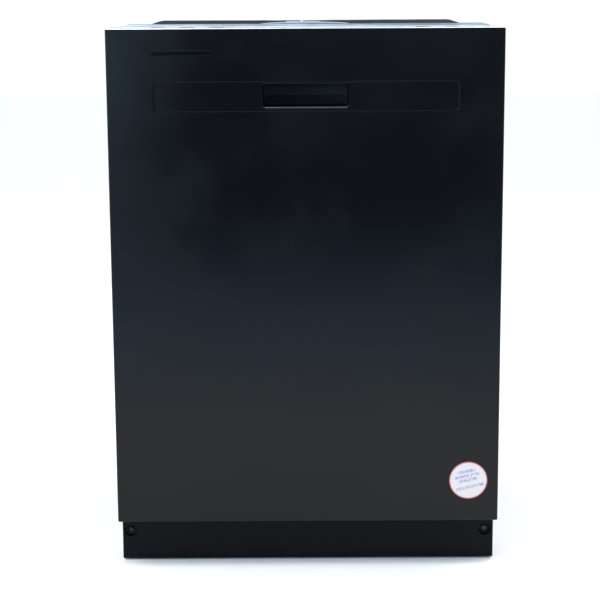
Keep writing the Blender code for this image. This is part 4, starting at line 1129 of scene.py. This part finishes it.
def make_blanket():
    """Felt wrap over the tub, stitched into pads, with uneven faces that stay inside the CAD wrap."""
    low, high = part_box("sound_blanket")
    half, top, steps, thickness = high.x, high.z, 46, 0.0070
    outer, inner = [], []
    for i in range(steps + 1):
        y = low.y + (high.y - low.y) * i / steps
        edge = 0.0030 * max(0.0, 1 - min(i, 3) / 2.0)
        loop, back = [], []
        corner = 0.0275 + 0.018 * (1 - i / steps)
        for j, (x, z) in enumerate(wrap_outline(half, low.z, top, corner)):
            point = Vector((x, y, z))
            away = point - Vector((0, y, min(z, 0.80)))
            away = Vector((away.x, 0, away.z if z > top - corner - 0.001 else 0)).normalized()
            row = abs((y - low.y) % WRAP_STITCHES - WRAP_STITCHES / 2)
            stitch = min(row, abs((j % 19) - 9.5) * 0.014)
            lumps = noise.noise(point * 22) * 0.0005 + noise.noise(point * 90) * 0.0002
            dent = 0.0014 * math.exp(-((stitch / 0.006) ** 2)) + 0.0008 - lumps + edge
            loop.append(point - away * max(0.0001, dent))
            back.append(point - away * thickness)
        outer.append(loop)
        inner.append(back)
    shape = bmesh.new()
    loops = [inner[-1], *reversed(inner[:-1]), *outer]
    made = rings(shape, loops, closed=False)
    first, last = made[0], made[-1]
    for a, b in zip(zip(first, first[1:]), zip(last, last[1:])):
        if (a[0].co - b[0].co).length > 1e-7:
            shape.faces.new((a[0], a[1], b[1], b[0]))
    outwards(shape)
    backing = (high.y - 0.0046, high.y - 0.0022)
    across, tall = grow((-half, half), -0.001), (low.z, top - 0.001)
    merge(shape, soft_block(across, backing, tall, 0.0010, corner=0.025, axis="Y"))
    merge(shape, quilted_back(grow((-half, half), -0.012), (low.z + 0.012, top - 0.012), high.y))
    show("felt_wrap", shape, "blanket", "cabinet", ["sound_blanket"], angle=70)


def make_strike():
    """Crowned plate with a raised pad, its screw, and the tongue that the latch takes."""
    half, low, edge, crown = 0.0735, 0.8493, 0.8625, 0.8667
    turns = [math.radians(a) for a in range(0, 181, 5)]
    sweep = [(half * math.cos(t), edge + (crown - edge) * math.sin(t)) for t in turns]
    outline = [*sweep, (-half, low), (half, low)]
    shape = solid("Y", [(at(0.0645), outline), (at(0.1000), outline)])
    sharp = [e for e in shape.edges if e.calc_face_angle(0) > 0.9]
    bmesh.ops.bevel(shape, geom=sharp, offset=0.0006, segments=2, profile=0.5, affect="EDGES")
    merge(shape, soft_block((-0.0298, 0.0238), (at(0.0700), at(0.0960)), (0.8560, 0.8672), 0.0007))
    merge(shape, soft_block((-0.0120, 0.0120), (at(0.0660), at(0.0720)), (0.8310, 0.8560), 0.0006))
    merge(shape, soft_block((-0.0120, 0.0120), (at(0.0320), at(0.0715)), (0.8305, 0.8330), 0.0006))
    show("strike_plate", shape, "stainless", "cabinet", ["strike_bracket"])
    profile = [(0.8600, 0.0048), (0.8688, 0.0050), (0.8694, 0.0047), (0.8697, 0.0040), (0.8698, 0.0022)]
    profile.append((0.8690, 0.0018))
    show("strike_screw", turned("Z", (-0.0038, at(0.083)), profile, 32), "galvanised", "cabinet")


def make_toe_screw(name, side):
    """Pan-head screw with a square driver recess, sunk in its dish."""
    profile = [(0.0700, 0.0004), (0.0680, 0.0020), (0.0566, 0.0022), (0.0565, 0.0050), (0.0552, 0.0051)]
    profile += [(0.0543, 0.0045), (0.0537, 0.0034), (0.0535, 0.0024), (0.0536, 0.0018), (0.0550, 0.0016)]
    shape = turned_back((TOE_SCREW_X * side, TOE_SCREW_Z), profile, 32)
    show("toe_fixing_" + name, shape, "zinc_screw", "cabinet", ["toe_screw_" + name], angle=30)


# ---------------------------------------------------------------- everything that keeps its CAD shape
# Finish, and the radius that its edges get, where 0 leaves them as they are.
KEPT = {
    "tub": ("stainless", 0.0),
    "tub_gasket": ("rubber", 0.0008),
    "base_frame": ("galvanised", 0.0003),
    "sump": ("grey_plastic", 0.0006),
    "wash_motor": ("matte_black", 0.001),
    "drain_pump": ("white_plastic", 0.0006),
    "inlet_valve": ("white_plastic", 0.001),
    "junction_box": ("galvanised", 0.0008),
    "upper_rail_left": ("grey_plastic", 0.0004),
    "upper_rail_right": ("grey_plastic", 0.0004),
    "filter_cup": ("grey_plastic", 0.0006),
    "overfill_float": ("white_plastic", 0.0005),
    "levelling_leg_left": ("grey_plastic", 0.0004),
    "levelling_leg_right": ("grey_plastic", 0.0004),
    "rear_wheel_left": ("grey_plastic", 0.0006),
    "rear_wheel_right": ("grey_plastic", 0.0006),
    "control_console": ("gloss_black", 0.0004),
    "control_board": ("circuit", 0.0002),
    "latch_housing": ("matte_black", 0.0006),
    "latch_pawl": ("white_plastic", 0.0003),
    "door_bottom_seal": ("rubber", 0.001),
    "hinge_arm_left": ("galvanised", 0.0003),
    "hinge_arm_right": ("galvanised", 0.0003),
    "dispenser_body": ("grey_plastic", 0.0006),
}


# ---------------------------------------------------------------- studio
CAMERA_HEIGHT = 0.9164
CAMERA_DISTANCE = 2.5
CAMERA_PITCH = math.radians(90 - 10.763)
CAMERA_ROLL = math.radians(-0.295)
CAMERA_LENS, CAMERA_SHIFT = 98.06, -0.01108
FLOOR_FRONT = -1.55


def make_camera():
    data = bpy.data.cameras.new("camera")
    camera = bpy.data.objects.new("camera", data)
    bpy.context.scene.collection.objects.link(camera)
    camera.location = (0, at(-CAMERA_DISTANCE), CAMERA_HEIGHT)
    turn = Matrix.Rotation(CAMERA_PITCH, 4, "X") @ Matrix.Rotation(CAMERA_ROLL, 4, "Z")
    camera.rotation_euler = turn.to_euler()
    data.sensor_width = 36.0
    data.lens = CAMERA_LENS
    data.shift_x = CAMERA_SHIFT
    bpy.context.scene.camera = camera


def make_floor():
    """Pale seamless floor. It stops short of the camera, so that the door mirrors the darker far room."""
    shape = bmesh.new()
    corners = [(-4, FLOOR_FRONT), (4, FLOOR_FRONT), (4, 12), (-4, 12)]
    shape.faces.new([shape.verts.new((x, y, 0)) for x, y in corners])
    mesh = bpy.data.meshes.new("floor")
    shape.to_mesh(mesh)
    shape.free()
    made, nodes, shader = principled("floor_paint")
    tint = nodes.noise(3.0, nodes.place(), 3.0)
    nodes.feed(shader.inputs["Base Color"], nodes.mix(tint, (0.92, 0.92, 0.92), (0.95, 0.95, 0.95)))
    shader.inputs["Roughness"].default_value = 0.8
    shader.inputs["Specular IOR Level"].default_value = 0.1
    mesh.materials.append(made)
    floor = bpy.data.objects.new("floor", mesh)
    bpy.context.scene.collection.objects.link(floor)


def make_light(name, place, aim, size, power, colour=(1, 1, 1)):
    data = bpy.data.lights.new(name, "AREA")
    data.shape = "RECTANGLE"
    data.size, data.size_y = size
    data.energy = power
    data.color = colour
    light = bpy.data.objects.new(name, data)
    bpy.context.scene.collection.objects.link(light)
    light.location = place
    light.rotation_euler = (Vector(aim) - Vector(place)).to_track_quat("-Z", "Y").to_euler()


# The room in front of the door, by the height of the ray's direction, as linear light.
STUDIO = (1.05, 1.05, 1.05)
BACKDROP = (1.02, 1.02, 1.02)
WINDOW = (1.34, 1.96, 2.62)
ROOM_LOW, ROOM_HIGH = -0.35, 0.65
ROOM_STOPS = [
    (ROOM_LOW, (1.20, 1.26, 1.36)),
    (-0.24, (1.15, 1.46, 1.79)),
    (-0.20, (0.83, 1.21, 1.66)),
    (-0.165, (0.27, 0.45, 0.69)),
    (-0.13, (0.055, 0.075, 0.14)),
    (-0.05, (0.026, 0.036, 0.075)),
    (0.02, (0.135, 0.17, 0.26)),
    (0.20, (0.19, 0.225, 0.32)),
    (ROOM_HIGH, (0.40, 0.44, 0.53)),
]


def make_world():
    """White studio all round, with a darker, bluish room beyond the floor on the camera's side."""
    world = bpy.data.worlds.new("studio")
    bpy.context.scene.world = world
    world.use_nodes = True
    nodes = Nodes(world.node_tree)
    background = world.node_tree.nodes["Background"]
    direction = nodes.node("ShaderNodeSeparateXYZ")
    nodes.feed(direction.inputs[0], nodes.node("ShaderNodeTexCoord").outputs["Generated"])
    x, y, z = direction.outputs
    ramp = nodes.node("ShaderNodeValToRGB")
    nodes.feed(ramp.inputs["Fac"], nodes.span(z, (ROOM_LOW, ROOM_HIGH), (0, 1), "LINEAR"))
    elements = ramp.color_ramp.elements
    while len(elements) < len(ROOM_STOPS):
        elements.new(0.5)
    for element, (height, colour) in zip(elements, ROOM_STOPS):
        element.position = (height - ROOM_LOW) / (ROOM_HIGH - ROOM_LOW)
        element.color = (*colour, 1)
    window = nodes.times(nodes.span(x, (-0.16, -0.055), (1, 0)), nodes.span(z, (-0.13, -0.05), (0.35, 1)))
    right = nodes.times(nodes.span(x, (0.10, 0.15), (0, 1)), nodes.span(z, (-0.20, -0.10), (0, 0.22)))
    fold = nodes.near(x, 0.039, (0.006, 0.020), (0.11, 0))
    curtain = nodes.times(fold, nodes.span(z, (-0.09, -0.05), (0, 1)))
    lit = nodes.mix(nodes.plus(nodes.plus(window, right), curtain), ramp.outputs["Color"], WINDOW)
    room = nodes.mix(nodes.span(y, (-0.75, -0.45), (1, 0)), STUDIO, lit)
    seen = nodes.node("ShaderNodeLightPath").outputs["Is Camera Ray"]
    nodes.feed(background.inputs["Color"], nodes.mix(seen, room, BACKDROP))


make_camera()
make_floor()
make_world()
make_light("key", (-1.2, -1.6, 2.6), (0, 0, 0.3), (1.6, 1.6), 34)
make_light("strip", (0, -1.15, 2.7), (0, 0, 0.8), (3.0, 0.55), 23, (0.86, 0.94, 1.0))
make_light("fill", (1.4, 0.8, 2.4), (0, 0.1, 0.2), (1.8, 1.8), 26)
bpy.context.scene.view_settings.view_transform = "Standard"

make_door_skin()
make_handle_scoop()
make_status_lens()
make_sticker()
make_toe_skin()
make_inner_panel()
make_dispenser_lid()
make_rinse_cap()
make_blanket()
make_flange_lip()
make_strike()
make_pipes()
make_upper_rack()
make_lower_rack()
make_tines()
make_silverware_basket()
for name, sizes in SPRAY_ARMS.items():
    make_spray_arm(name, *sizes)
for name, (x, sign) in BUTTONS.items():
    make_button(name, x, sign)
for name, side in SIDES.items():
    make_toe_screw(name, side)
    make_balance(name, side)
    for end in RACK_WHEELS:
        make_rack_wheel(f"rack_wheel_{end}_{name}")
for node, (slot, edge) in KEPT.items():
    refine(node, slot, edge)
